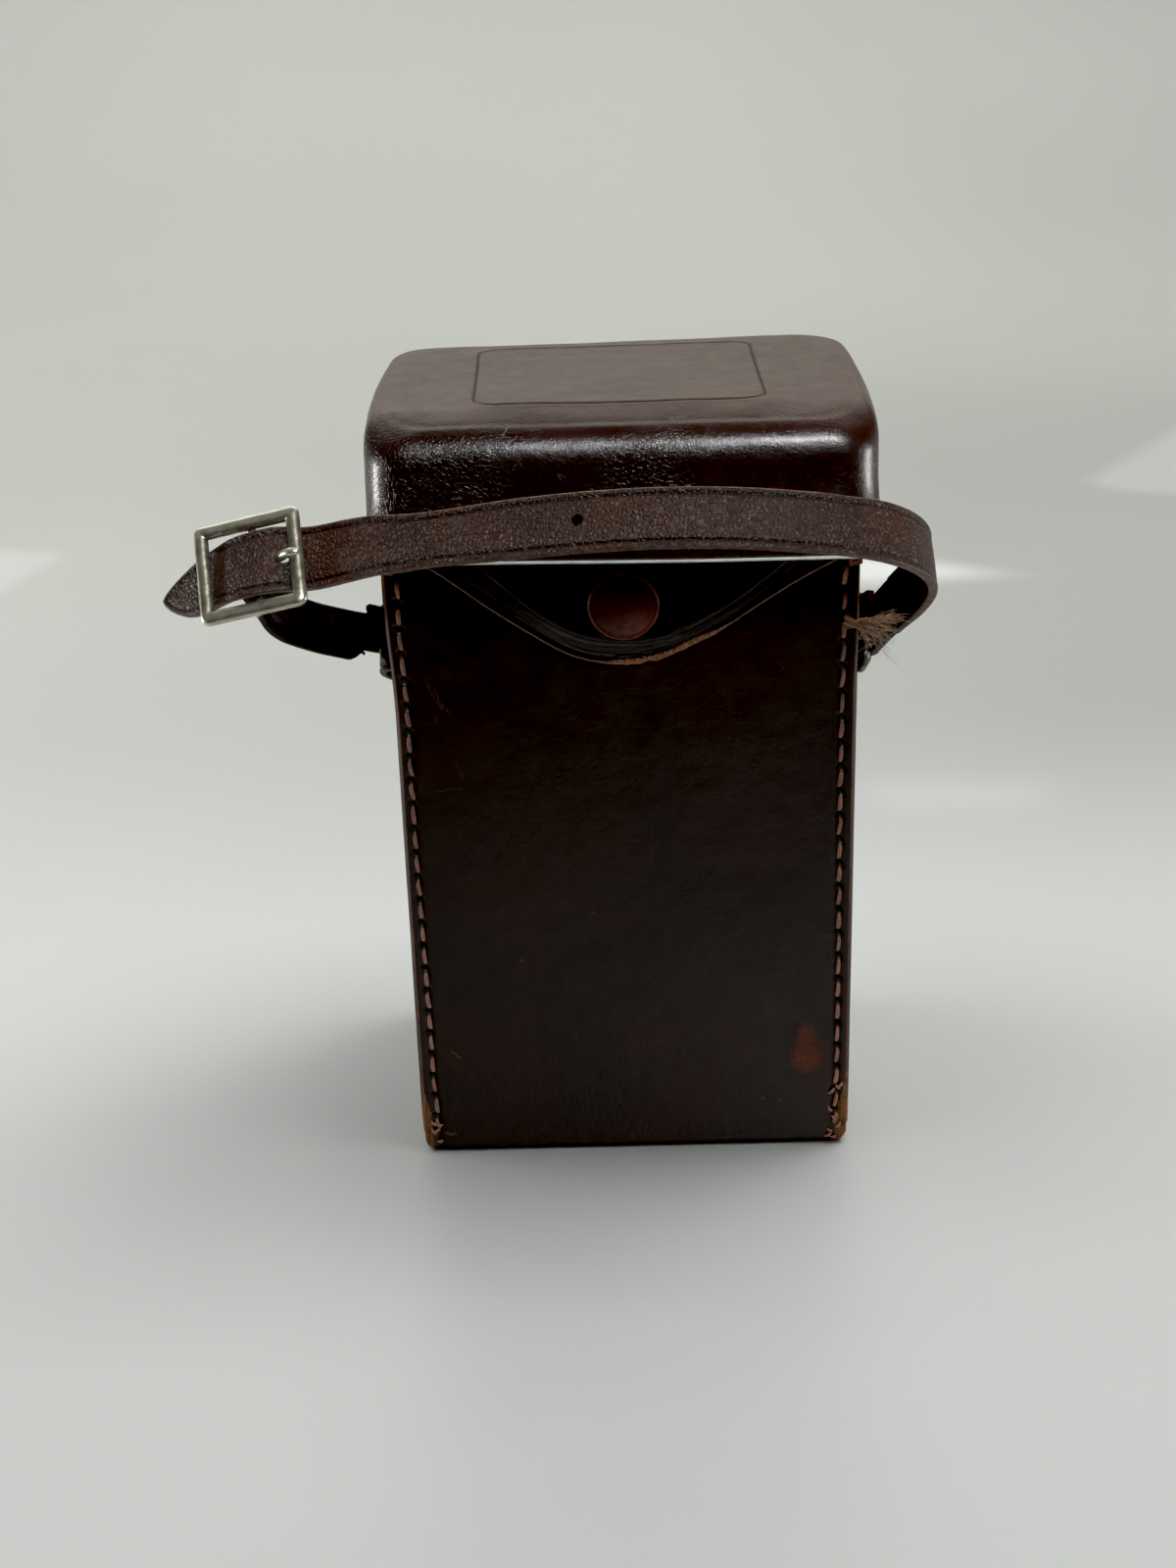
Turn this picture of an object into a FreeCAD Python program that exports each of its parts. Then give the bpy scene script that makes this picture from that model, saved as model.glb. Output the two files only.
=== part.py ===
import FreeCAD, Part
import os
import math
from FreeCAD import Vector as V, Placement, Rotation

# Leather camera case with a snap-down tongue, a telescoping moulded lid hinged
# at the back, and a buckled carrying strap on swivelling side tabs.
# Millimetres.  +X right, +Y towards the back, +Z up.
# Origin: centre of the flat underside.

# ---------------------------------------------------------------- dimensions
# box-shaped body
BODY_HX = 49.3          # half width of the wrap strip (front, bottom, back)
BODY_HY = 35.5          # half depth over the wrap strip
T_STRIP = 2.4           # wrap strip thickness
STRIP_R = 2.9           # outside radius of the folded bottom edges
BODY_TOP = 156.0        # the walls stand up inside the lid
GUS_X = 49.8            # outside face of a side gusset
T_GUS = 2.2             # gusset thickness
FLANGE = 8.0            # width of the gusset's turned flanges
LINE_TOP = 152.0        # top of the lining
LINE_X = 46.7           # half width of the hollow
LINE_Y = 30.2           # half depth of the hollow
LINE_Z = 5.3            # floor of the hollow

# lid
LID_HX = 53.5
LID_HY = 41.1
RIM_Z = 143.8           # lower edge of the lid's leather
LID_TOP = 174.3
T_LID = 2.6
LID_R = 8.5             # upright corner radius
LID_RX = 7.0            # moulded top edge: run-in at the sides,
LID_RY = 8.5            # run-in at front and back,
LID_RT = 9.0            # and height
LID_LEAN = 0.5          # how far the walls lean in up to the top edge
BACK_CUT_Z = 156.6      # lower edge of the lid's back wall
SKIRT_BACK_Y = 33.0     # where the side skirts end
PANEL_HX, PANEL_HY = 30.3, 28.2   # embossed rectangle on the top
EDGE_H = 0.7            # polished edge strip under the skirt

# lid hinge (flexing leather strip)
HINGE_Y, HINGE_Z = 37.5, 154.6
STRIP_T = 1.8
STRIP_HX = 42.0

# closing tongue and snap
TONG_Y0, TONG_Y1 = -38.5, -36.7     # outer and inner face
TONG_AX_Y, TONG_AX_Z = -37.6, 142.0
TONG_TOP = 141.6
ROOT_Z0, ROOT_Z1 = 143.9, 151.5
SNAP_X, SNAP_Z = -0.3, 133.6

# strap loop: a plane that rises 36 degrees towards the front
LOOP_Z = 111.0
LOOP_DEG = 36.0
PIV_U = -5.0            # tab rivet, measured along the loop plane
STRAP_W = 12.5
T_STRAP = 1.9
T_BILLET = 1.7
TAB_X0 = 50.2
T_TAB = 1.6
RING_R = 1.1            # ring wire radius
RING_A = (53.0, 3.0)    # rear bar of a ring (x, u)
RING_B = (55.6, 10.6)   # front bar of a ring
RING_W = 7.8            # half height of a ring, wire centre

# buckle
BUC_C = (-75.0, 64.2)   # centre of the frame (x, u)
BUC_DEG = 15.0          # its direction in the loop plane
BUC_TILT = -5.5         # its turn within its own face
BUC_W, BUC_H = 23.0, 20.8
BUC_R = 1.3             # half-round section
BAR_V = -2.35           # centre bar, behind the frame's plane
BAR_R = 1.0

SEAM_X = 46.3           # seam lines on front and back
STITCH_L, STITCH_P, STITCH_R = 3.8, 5.6, 0.42

os.makedirs("parts", exist_ok=True)
NODES = {}


def save(name, shape):
    NODES[name] = shape
    shape.exportStep("parts/" + name + ".step")


def box(x0, x1, y0, y1, z0, z1):
    return Part.makeBox(x1 - x0, y1 - y0, z1 - z0, V(x0, y0, z0))


def cyl(r, a, b):
    a = V(*a)
    b = V(*b)
    d = b.sub(a)
    return Part.makeCylinder(r, d.Length, a, d)


def edges_if(shape, test):
    out = []
    for e in shape.Edges:
        bb = e.BoundBox
        if test(bb):
            out.append(e)
    return out


# ---------------------------------------------------------------- wrap strip
def strip_section(hy, zb, r, top):
    """Closed U-shaped outline in the YZ plane, at x = 0."""
    p = [V(0, -hy, top), V(0, -hy, zb + r), V(0, -hy + r, zb),
         V(0, hy - r, zb), V(0, hy, zb + r), V(0, hy, top)]
    k = r * (1 - math.sqrt(0.5))
    return [Part.LineSegment(p[0], p[1]).toShape(),
            Part.Arc(p[1], V(0, -hy + k, zb + k), p[2]).toShape(),
            Part.LineSegment(p[2], p[3]).toShape(),
            Part.Arc(p[3], V(0, hy - k, zb + k), p[4]).toShape(),
            Part.LineSegment(p[4], p[5]).toShape()]


def slab(edges, top, hx):
    a = edges[0].Vertexes[0].Point
    b = edges[-1].Vertexes[-1].Point
    w = Part.Wire(edges + [Part.LineSegment(b, a).toShape()])
    f = Part.Face(w)
    f.translate(V(-hx, 0, 0))
    return f.extrude(V(2 * hx, 0, 0))


outer = slab(strip_section(BODY_HY, 0, STRIP_R, BODY_TOP), BODY_TOP, BODY_HX)
inner = slab(strip_section(BODY_HY - T_STRIP, T_STRIP, STRIP_R - T_STRIP, BODY_TOP + 1),
             BODY_TOP + 1, BODY_HX + 1)
wrap = outer.cut(inner)
# top corners of the front and back wall are rounded off
corner = edges_if(wrap, lambda b: b.XLength < 1e-6 and b.ZLength < 1e-6
                  and b.ZMin > BODY_TOP - 0.1 and abs(b.YLength - T_STRIP) < 1e-6)
wrap = wrap.makeFillet(4.0, corner)
# seat for the stud's flange, and the hole for its post
wrap = wrap.cut(cyl(5.2, (SNAP_X, -BODY_HY - 1, SNAP_Z), (SNAP_X, -BODY_HY + 0.5, SNAP_Z)))
wrap = wrap.cut(cyl(1.55, (SNAP_X, -BODY_HY - 1, SNAP_Z), (SNAP_X, -BODY_HY + 4, SNAP_Z)))
# sunk channels for the stitches that cross the underside
for s in (-1, 1):
    wrap = wrap.cut(box(s * SEAM_X - 0.8, s * SEAM_X + 0.8, -31, 31, -1, 0.95))
save("body_wrap_strip", wrap)


# ---------------------------------------------------------------- gussets
def gusset():
    """Right-hand tray: side wall with flanges at front, back and bottom."""
    y = BODY_HY - T_STRIP
    g = box(GUS_X - FLANGE, GUS_X, -y, y, T_STRIP, BODY_TOP)
    long_e = edges_if(g, lambda b: b.XLength > FLANGE - 0.1 and b.YLength < 1e-6
                      and b.ZLength < 1e-6 and b.ZMin < T_STRIP + 0.1)
    rim_e = edges_if(g, lambda b: b.XMin > GUS_X - 1e-3 and
                     (b.ZLength > 50 or (b.YLength > 50 and b.ZMax < 10)))
    g = g.makeFillet(1.25, long_e + rim_e)
    hollow = box(GUS_X - FLANGE - 1, GUS_X - T_GUS, -y + T_GUS, y - T_GUS,
                 T_STRIP + T_GUS, BODY_TOP + 1)
    return g.cut(hollow)


# pivot of the strap loop on the side walls
PIV_Y = -PIV_U * math.cos(math.radians(LOOP_DEG))
PIV_Z = LOOP_Z + PIV_U * math.sin(math.radians(LOOP_DEG))
right = gusset()
right = right.cut(cyl(1.5, (40, PIV_Y, PIV_Z), (52, PIV_Y, PIV_Z)))
save("side_gusset_right", right)
left = right.mirror(V(0, 0, 0), V(1, 0, 0))
save("side_gusset_left", left)

# ---------------------------------------------------------------- lining
y_in = BODY_HY - T_STRIP
lin = box(-GUS_X + T_GUS, GUS_X - T_GUS, -y_in + 0.02, y_in - 0.02, T_STRIP + 0.02, LINE_TOP)
lin = lin.cut(box(-LINE_X, LINE_X, -LINE_Y, LINE_Y, LINE_Z, LINE_TOP + 1))
for s in (-1, 1):
    fl = box(GUS_X - FLANGE, GUS_X, -y_in - 1, -y_in + T_GUS, 0, BODY_TOP + 2)
    fl = fl.fuse(box(GUS_X - FLANGE, GUS_X, y_in - T_GUS, y_in + 1, 0, BODY_TOP + 2))
    fl = fl.fuse(box(GUS_X - FLANGE, GUS_X, -y_in - 1, y_in + 1, 0, T_STRIP + T_GUS))
    if s < 0:
        fl = fl.mirror(V(0, 0, 0), V(1, 0, 0))
    lin = lin.cut(fl)
# the strip's inner bends, and recesses round the snap post and rivet washers
lin = lin.cut(outer.cut(slab(strip_section(y_in - 0.02, T_STRIP + 0.02, 1.0, BODY_TOP + 1),
                             BODY_TOP + 1, BODY_HX + 1)))
lin = lin.cut(cyl(5.2, (SNAP_X, -BODY_HY, SNAP_Z), (SNAP_X, -LINE_Y + 1, SNAP_Z)))
for s in (-1, 1):
    lin = lin.cut(cyl(4.2, (s * 44, PIV_Y, PIV_Z), (s * 50, PIV_Y, PIV_Z)))
save("body_lining", lin.removeSplitter())


# ---------------------------------------------------------------- seams
def stitch(a, b, r=STITCH_R):
    return cyl(r, a, b)


def seam(s):
    """Saddle-stitched seam down the front, under the body and up the back."""
    x = s * SEAM_X
    out = []
    z = RIM_Z - 8.3
    while z > 5.5:
        for y in (-BODY_HY - STITCH_R, BODY_HY + STITCH_R):
            out.append(stitch((x, y, z), (x, y, z + STITCH_L)))
        z -= STITCH_P
    y = -29.0
    while y + STITCH_L < 30.0:
        out.append(stitch((x, y, 0.95 - STITCH_R), (x, y + STITCH_L, 0.95 - STITCH_R)))
        y += STITCH_P
    # overcast thread round the top end of the seam, just under the lid's rim
    for sy in (-1, 1):
        yy = sy * (BODY_HY + 0.42)
        out.append(cyl(0.42, (s * 46.0, yy, RIM_Z - 3.2), (s * 49.6, yy, RIM_Z - 3.2)))
    return Part.makeCompound(out)


save("seam_thread_right", seam(1))
save("seam_thread_left", seam(-1))

# ---------------------------------------------------------------- snap, body side
stud = cyl(5.0, (SNAP_X, -BODY_HY, SNAP_Z), (SNAP_X, -BODY_HY + 0.5, SNAP_Z))
stud = stud.fuse(cyl(1.9, (SNAP_X, -BODY_HY - 0.85, SNAP_Z), (SNAP_X, -BODY_HY, SNAP_Z)))
head = cyl(2.6, (SNAP_X, -BODY_HY - 1.5, SNAP_Z), (SNAP_X, -BODY_HY - 0.8, SNAP_Z))
head = head.makeFillet(0.3, edges_if(head, lambda b: b.YLength < 1e-6 and b.XLength > 5))
stud = stud.fuse(head)
stud = stud.cut(cyl(1.0, (SNAP_X, -BODY_HY - 0.2, SNAP_Z), (SNAP_X, -BODY_HY + 1, SNAP_Z)))
save("snap_stud", stud.removeSplitter())
post = cyl(4.4, (SNAP_X, -y_in, SNAP_Z), (SNAP_X, -y_in + 0.5, SNAP_Z))
post = post.fuse(cyl(1.5, (SNAP_X, -y_in - 1.85, SNAP_Z), (SNAP_X, -y_in, SNAP_Z)))
post = post.cut(cyl(0.8, (SNAP_X, -y_in - 3, SNAP_Z), (SNAP_X, -y_in + 3, SNAP_Z)))
save("snap_post", post.removeSplitter())

# ---------------------------------------------------------------- tab rivets
rivets, washers = [], []
for s in (-1, 1):
    r = cyl(1.4, (s * 46.9, PIV_Y, PIV_Z), (s * 53.9, PIV_Y, PIV_Z))
    h = Part.makeSphere(6.0, V(s * (53.65 + 0.95 - 6.0), PIV_Y, PIV_Z))
    h = h.common(cyl(3.2, (s * 53.65, PIV_Y, PIV_Z), (s * 56, PIV_Y, PIV_Z)))
    r = r.fuse(h)
    r = r.fuse(cyl(2.0, (s * 46.85, PIV_Y, PIV_Z), (s * 47.15, PIV_Y, PIV_Z)))
    rivets.append(r.removeSplitter())
    w = cyl(3.7, (s * (GUS_X - T_GUS), PIV_Y, PIV_Z), (s * (GUS_X - T_GUS - 0.45), PIV_Y, PIV_Z))
    w = w.cut(cyl(1.45, (s * 44, PIV_Y, PIV_Z), (s * 50, PIV_Y, PIV_Z)))
    washers.append(w)
save("tab_rivets", Part.makeCompound(rivets))
save("tab_rivet_washers", Part.makeCompound(washers))


# ---------------------------------------------------------------- lid
def rr_wire(hx, hy, r, z):
    c = r * math.sqrt(0.5)
    pts = [(hx - r, -hy, hx - r + c, -hy + r - c, hx, -hy + r),
           (hx, hy - r, hx - r + c, hy - r + c, hx - r, hy),
           (-hx + r, hy, -hx + r - c, hy - r + c, -hx, hy - r),
           (-hx, -hy + r, -hx + r - c, -hy + r - c, -hx + r, -hy)]
    e = []
    for i in range(4):
        x0, y0, xm, ym, x1, y1 = pts[i]
        nx, ny = pts[(i + 1) % 4][:2]
        e.append(Part.Arc(V(x0, y0, z), V(xm, ym, z), V(x1, y1, z)).toShape())
        e.append(Part.LineSegment(V(x1, y1, z), V(nx, ny, z)).toShape())
    return Part.Wire(e)


def lid_form(off, z0):
    """Moulded box form, set in by off from the lid's outside, open run from z0."""
    hx, hy, r0 = LID_HX - off, LID_HY - off, LID_R - off
    zc = LID_TOP - LID_RT
    k = LID_LEAN * (zc - z0) / (zc - RIM_Z)
    hx, hy = hx - LID_LEAN, hy - LID_LEAN
    base = Part.makeLoft([rr_wire(hx + k, hy + k, r0, z0), rr_wire(hx, hy, r0, zc)], True, True)
    wires = []
    for a in (0, 18, 36, 54, 72, 90):
        t = math.radians(a)
        ix = (LID_RX - off) * (1 - math.cos(t))
        iy = (LID_RY - off) * (1 - math.cos(t))
        wires.append(rr_wire(hx - ix, hy - iy, r0 + 1.5 * (1 - math.cos(t)),
                             zc + (LID_RT - off) * math.sin(t)))
    crown = Part.makeLoft(wires, True, False)
    return base.fuse(crown)


lid_out = lid_form(0.0, RIM_Z)
lid_in = lid_form(T_LID, RIM_Z)
lid = lid_out.cut(lid_in)
# the back wall ends above the hinge strip
back_cut = box(-60, 60, SKIRT_BACK_Y, 60, RIM_Z - 5, BACK_CUT_Z)
lid = lid.cut(back_cut)
# embossed rectangle: a shallow groove with rounded corners
g_out = Part.Face(rr_wire(PANEL_HX, PANEL_HY, 5.0, LID_TOP - 0.35)).extrude(V(0, 0, 2))
g_in = Part.Face(rr_wire(PANEL_HX - 0.8, PANEL_HY - 0.8, 4.2, LID_TOP - 1)).extrude(V(0, 0, 3))
lid = lid.cut(g_out.cut(g_in))
save("lid_shell", lid)

# polished edge strip under the skirt, front and both sides
ring = Part.Face(rr_wire(LID_HX - 0.05, LID_HY - 0.05, LID_R - 0.05, RIM_Z - EDGE_H)).extrude(V(0, 0, EDGE_H))
ring = ring.cut(Part.Face(rr_wire(LID_HX - 2.4, LID_HY - 2.4, LID_R - 2.4, RIM_Z - 2)).extrude(V(0, 0, 4)))
ring = ring.cut(box(-60, 60, SKIRT_BACK_Y, 60, RIM_Z - 5, RIM_Z + 5))
save("lid_edge_strip", ring)

# upper leaf of the hinge strip, inside the lid's back wall
leaf_y1 = LID_HY - T_LID - LID_LEAN
leaf = box(-STRIP_HX, STRIP_HX, leaf_y1 - STRIP_T, leaf_y1, HINGE_Z + 0.8, LID_TOP - LID_RT)
save("hinge_strip_upper", leaf)

# lid lining: a thin skin over the inside of the crown
lin_z0 = 157.6
skin = lid_form(T_LID + 0.02, lin_z0).cut(lid_form(T_LID + 0.62, lin_z0))
skin = skin.cut(box(-STRIP_HX - 0.2, STRIP_HX + 0.2, leaf_y1 - STRIP_T - 0.2, leaf_y1 + 1, 150, LID_TOP - LID_RT + 0.2))
save("lid_lining", skin)

# ---------------------------------------------------------------- hinge strip, lower leaf
leaf = box(-STRIP_HX, STRIP_HX, BODY_HY, BODY_HY + STRIP_T, 128.0, HINGE_Z - 0.6)
low_e = edges_if(leaf, lambda b: b.YLength > 1 and b.XLength < 1e-6 and b.ZMax < 128.1)
leaf = leaf.makeFillet(5.0, low_e)
save("hinge_strip_lower", leaf)


def row(x0, x1, y, z, r=0.35, length=3.6, pitch=5.4):
    out = []
    n = int((x1 - x0 - length) / pitch) + 1
    start = (x0 + x1) / 2 - ((n - 1) * pitch + length) / 2
    for i in range(n):
        a = start + i * pitch
        out.append(cyl(r, (a, y, z), (a + length, y, z)))
    return out


low = []
for zz in (131.0, 147.0):
    low += row(-37, 37, BODY_HY + STRIP_T + 0.35, zz)
save("hinge_stitching_lower", Part.makeCompound(low))
save("hinge_stitching_upper", Part.makeCompound(row(-38, 38, LID_HY + 0.35 - LID_LEAN * 0.75, 160.6)))

# ---------------------------------------------------------------- tongue
# Half outline of the free part, x and distance below the rim.
TONG = [(44.0, 2.2), (36.5, 5.9), (29.3, 10.3), (19.5, 17.0), (12.4, 20.6), (6.5, 23.0), (0.0, 23.8)]


def tongue_face(y):
    pts = [V(x, y, RIM_Z - d) for x, d in TONG] + [V(-x, y, RIM_Z - d) for x, d in TONG[::-1][1:]]
    c = Part.BSplineCurve()
    c.interpolate(pts)
    e = [c.toShape(), Part.LineSegment(pts[-1], V(-44, y, TONG_TOP)).toShape() if pts[-1].z < TONG_TOP - 1e-6 else None,
         Part.LineSegment(V(-44, y, TONG_TOP), V(44, y, TONG_TOP)).toShape(),
         Part.LineSegment(V(44, y, TONG_TOP), pts[0]).toShape() if pts[0].z < TONG_TOP - 1e-6 else None]
    return Part.Face(Part.Wire(Part.__sortEdges__([k for k in e if k is not None])))


TONG = [(44.0, RIM_Z - TONG_TOP)] + TONG[1:]
tongue = tongue_face(TONG_Y0).extrude(V(0, TONG_Y1 - TONG_Y0, 0))
tongue = tongue.cut(cyl(6.85, (SNAP_X, -37.9, SNAP_Z), (SNAP_X, -30, SNAP_Z)))
tongue = tongue.cut(cyl(2.05, (SNAP_X, -45, SNAP_Z), (SNAP_X, -30, SNAP_Z)))
save("closing_tongue", tongue)

root_y = -LID_HY + T_LID + 0.42 * LID_LEAN
root = box(-44.0, 44.0, root_y, root_y + 1.8, ROOT_Z0, ROOT_Z1)
top_e = edges_if(root, lambda b: b.YLength > 1 and b.XLength < 1e-6 and b.ZMin > ROOT_Z1 - 0.1)
root = root.makeFillet(4.0, top_e)
save("tongue_root", root)
save("tongue_stitching", Part.makeCompound(row(-39, 39, -LID_HY - 0.35 + LID_LEAN * 0.2, 148.4)))

# snap, tongue side
dome_r = 19.0
cap = Part.makeSphere(dome_r, V(SNAP_X, TONG_Y0 - 1.75 + dome_r, SNAP_Z))
cap = cap.common(cyl(7.5, (SNAP_X, -45, SNAP_Z), (SNAP_X, TONG_Y0, SNAP_Z)))
cap = cap.fuse(cyl(2.0, (SNAP_X, TONG_Y0 - 0.3, SNAP_Z), (SNAP_X, -37.55, SNAP_Z)))
save("snap_cap", cap.removeSplitter())
sock = cyl(6.8, (SNAP_X, -37.9, SNAP_Z), (SNAP_X, -36.0, SNAP_Z))
sock = sock.cut(cyl(6.4, (SNAP_X, -37.5, SNAP_Z), (SNAP_X, -35.0, SNAP_Z)))
sock = sock.cut(cyl(2.05, (SNAP_X, -39, SNAP_Z), (SNAP_X, -35.0, SNAP_Z)))
save("snap_socket", sock)
wires = []
for sx in (-1, 1):
    wx = SNAP_X + sx * 3.15
    wires.append(cyl(0.3, (wx, -36.95, SNAP_Z - 5.35), (wx, -36.95, SNAP_Z + 5.35)))
save("snap_spring", Part.makeCompound(wires))

# ---------------------------------------------------------------- strap loop
LOOP = Placement(V(0, 0, LOOP_Z), Rotation(V(1, 0, 0), 180.0 - LOOP_DEG))


def loop(shape):
    """Carry a shape from the loop's own (x, u, -w) frame to the part's frame."""
    s = shape.copy()
    s.Placement = LOOP.multiply(s.Placement)
    return s


def path(pts, radii):
    """Straight runs joined by tangent arcs, as ('L', a, b) and ('A', centre, r, a0, a1)."""
    segs = []
    p = [V(x, y, 0) for x, y in pts]
    prev = p[0]
    for i in range(1, len(p) - 1):
        d0 = p[i].sub(p[i - 1]).normalize()
        d1 = p[i + 1].sub(p[i]).normalize()
        cr = d0.x * d1.y - d0.y * d1.x
        turn = math.atan2(cr, d0.dot(d1))
        run = min(p[i].sub(p[i - 1]).Length, p[i + 1].sub(p[i]).Length)
        rmax = 0.48 * run / math.tan(abs(turn) / 2)
        r = min(radii[i - 1], rmax) if radii else rmax
        t = r * math.tan(abs(turn) / 2)
        a = p[i].sub(d0 * t)
        b = p[i].add(d1 * t)
        sg = 1 if turn > 0 else -1
        n0 = V(-d0.y, d0.x, 0) * sg
        c = a.add(n0 * r)
        segs.append(("L", prev, a))
        segs.append(("A", c, r, sg, a, b))
        prev = b
    segs.append(("L", prev, p[-1]))
    return segs


def ribbon(segs, t, w):
    """A strap of thickness t along the path, w wide, standing on its edge."""
    h = t / 2
    sides = []
    for k in (1, -1):
        es = []
        for sgm in segs:
            if sgm[0] == "L":
                a, b = sgm[1], sgm[2]
                d = b.sub(a)
                if d.Length < 1e-6:
                    continue
                d.normalize()
                n = V(-d.y, d.x, 0) * (k * h)
                es.append(Part.LineSegment(a.add(n), b.add(n)).toShape())
            else:
                c, r, sg, a, b = sgm[1:]
                q = r - sg * k * h
                va = a.sub(c).normalize() * q
                vb = b.sub(c).normalize() * q
                vm = va.add(vb).normalize() * q
                es.append(Part.Arc(c.add(va), c.add(vm), c.add(vb)).toShape())
        sides.append(es)
    l0 = sides[0][0].Vertexes[0].Point
    r0 = sides[1][0].Vertexes[0].Point
    l1 = sides[0][-1].Vertexes[-1].Point
    r1 = sides[1][-1].Vertexes[-1].Point
    es = sides[0] + sides[1] + [Part.LineSegment(l0, r0).toShape(), Part.LineSegment(l1, r1).toShape()]
    f = Part.Face(Part.Wire(Part.__sortEdges__(es)))
    f.translate(V(0, 0, -w / 2))
    return f.extrude(V(0, 0, w))


def fold(c, ri, t, w):
    o = Part.makeCylinder(ri + t, w, V(c[0], c[1], -w / 2), V(0, 0, 1))
    return o


def bore(c, ri, w):
    return Part.makeCylinder(ri, w + 2, V(c[0], c[1], -w / 2 - 1), V(0, 0, 1))


FOLD_I = RING_R + 0.12
ba = math.radians(BUC_DEG)
BD = V(-math.cos(ba), -math.sin(ba), 0)     # towards the strap's tip
BF = V(-math.sin(ba), math.cos(ba), 0)      # outwards
BC = V(BUC_C[0], BUC_C[1], 0)


def bpt(s, v):
    q = BC.add(BD * s).add(BF * v)
    return (q.x, q.y)


# long strap: fold on the right ring, round the front, through the buckle
ms = [(57.78, 10.3), (61.4, 27.5), (65.6, 44.5), (61.0, 61.5), (50.6, 72.8), (38.5, 78.9),
      (25.0, 83.2), (10.0, 84.9), (-5.0, 83.4), (-21.0, 79.8), (-38.5, 75.3), (-53.0, 70.2),
      bpt(-12.5, -2.7), bpt(-8.3, -2.2), bpt(-3.4, 1.55), bpt(2.6, 1.75), bpt(7.6, -2.1), bpt(12.0, -3.6), (-91.0, 50.6)]
strap = ribbon(path(ms, None), T_STRAP, STRAP_W)
# tip: a tapered, rounded end
td = V(-91.0 - bpt(12.0, -3.6)[0], 50.6 - bpt(12.0, -3.6)[1], 0).normalize()
tn = V(-td.y, td.x, 0)
tip_c = V(-91.0, 50.6, 0).sub(td * 0.2)
ell = Part.Ellipse(V(0, 0, 0), 9.0, STRAP_W / 2)
half = Part.Face(Part.Wire([ell.toShape()])).extrude(V(0, 0, T_STRAP))
half = half.common(Part.makeBox(20, 40, 10, V(0, -20, -5)))
m = FreeCAD.Matrix(td.x, 0, tn.x, 0, td.y, 0, tn.y, 0, 0, -1, 0, 0, 0, 0, 0, 1)
half = half.transformGeometry(FreeCAD.Matrix())
half.Placement = Placement(m)
half.translate(tip_c.sub(tn * (T_STRAP / 2)))
strap = strap.fuse(half)
# fold and its tail, lying towards the body
strap = strap.fuse(fold(RING_B, FOLD_I, T_STRAP, STRAP_W))
tail = ribbon(path([(53.55, 11.1), (56.6, 21.0), (57.9, 27.0)], None), T_STRAP, STRAP_W)
strap = strap.fuse(tail).cut(bore(RING_B, FOLD_I, STRAP_W))
# prong hole and a spare hole
hs, hv = -5.6, -0.45
hc = V(*bpt(hs, hv), 0)
slot = Part.makeBox(6.0, 4.4, 2.5, V(-3.0, -2.2, -1.25))
slot.Placement = Placement(V(hc.x, hc.y, 0), Rotation(V(0, 0, 1), math.degrees(math.atan2(BD.y, BD.x))))
strap = strap.cut(slot)
for hx, hu, dx, du in ((-8.6, 82.5, 0.24, 0.97),):
    strap = strap.cut(Part.makeCylinder(1.05, 10, V(hx - 5 * dx, hu - 5 * du, 0), V(dx, du, 0)))
save("long_strap", loop(strap.removeSplitter()))

# buckle strap: from the buckle's centre bar back to the left ring
BB = bpt(0, BAR_V)
BFI = BAR_R + 0.12
bs = [(BB[0] - 1.95, BB[1] - 0.3), (-76.9, 50.5), (-76.6, 38.5), (-74.0, 27.6), (-68.6, 21.0), (-62.2, 17.0), (-57.1, 12.2)]
bil = ribbon(path(bs, None), T_BILLET, STRAP_W)
bil = bil.fuse(fold(BB, BFI, T_BILLET, STRAP_W))
bil = bil.fuse(ribbon(path([(BB[0] + 1.95, BB[1] - 0.2), (-74.6, 52.0), (-74.7, 46.5)], None), T_BILLET, STRAP_W))
lb = (-RING_B[0], RING_B[1])
bil = bil.fuse(fold(lb, FOLD_I, T_BILLET, STRAP_W))
bil = bil.fuse(ribbon(path([(-54.9, 12.55), (-59.6, 17.2), (-64.4, 20.2)], None), T_BILLET, STRAP_W))
bil = bil.cut(bore(BB, BFI, STRAP_W)).cut(bore(lb, FOLD_I, STRAP_W))
# slot in the fold for the prong
sl = Part.makeBox(9.0, 9.0, 3.4, V(-3.2, -3.6, -1.7))
sl.Placement = Placement(V(BB[0], BB[1], 0), Rotation(V(0, 0, 1), math.degrees(math.atan2(-BD.y, -BD.x))))
bil = bil.cut(sl)
save("buckle_strap", loop(bil.removeSplitter()))

# ---------------------------------------------------------------- folds' stitching
st = []
for (x, u, dx, du, h, t0) in ((58.45, 22.6, 0.972, -0.236, T_STRAP, 1), (-64.0, 18.9, -0.39, 0.92, T_BILLET, 1),
                          (-76.95, 50.2, 0.98, 0.19, T_BILLET, 1)):
    for w in (-4.4, -1.5, 1.5, 4.4):
        d = V(dx, du, 0).normalize()
        c = V(x, u, w)
        st.append(Part.makeCylinder(0.35, 2 * h + 0.5, c.sub(d * (h + 0.25)), d))
STITCHES_RAW = st


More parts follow.
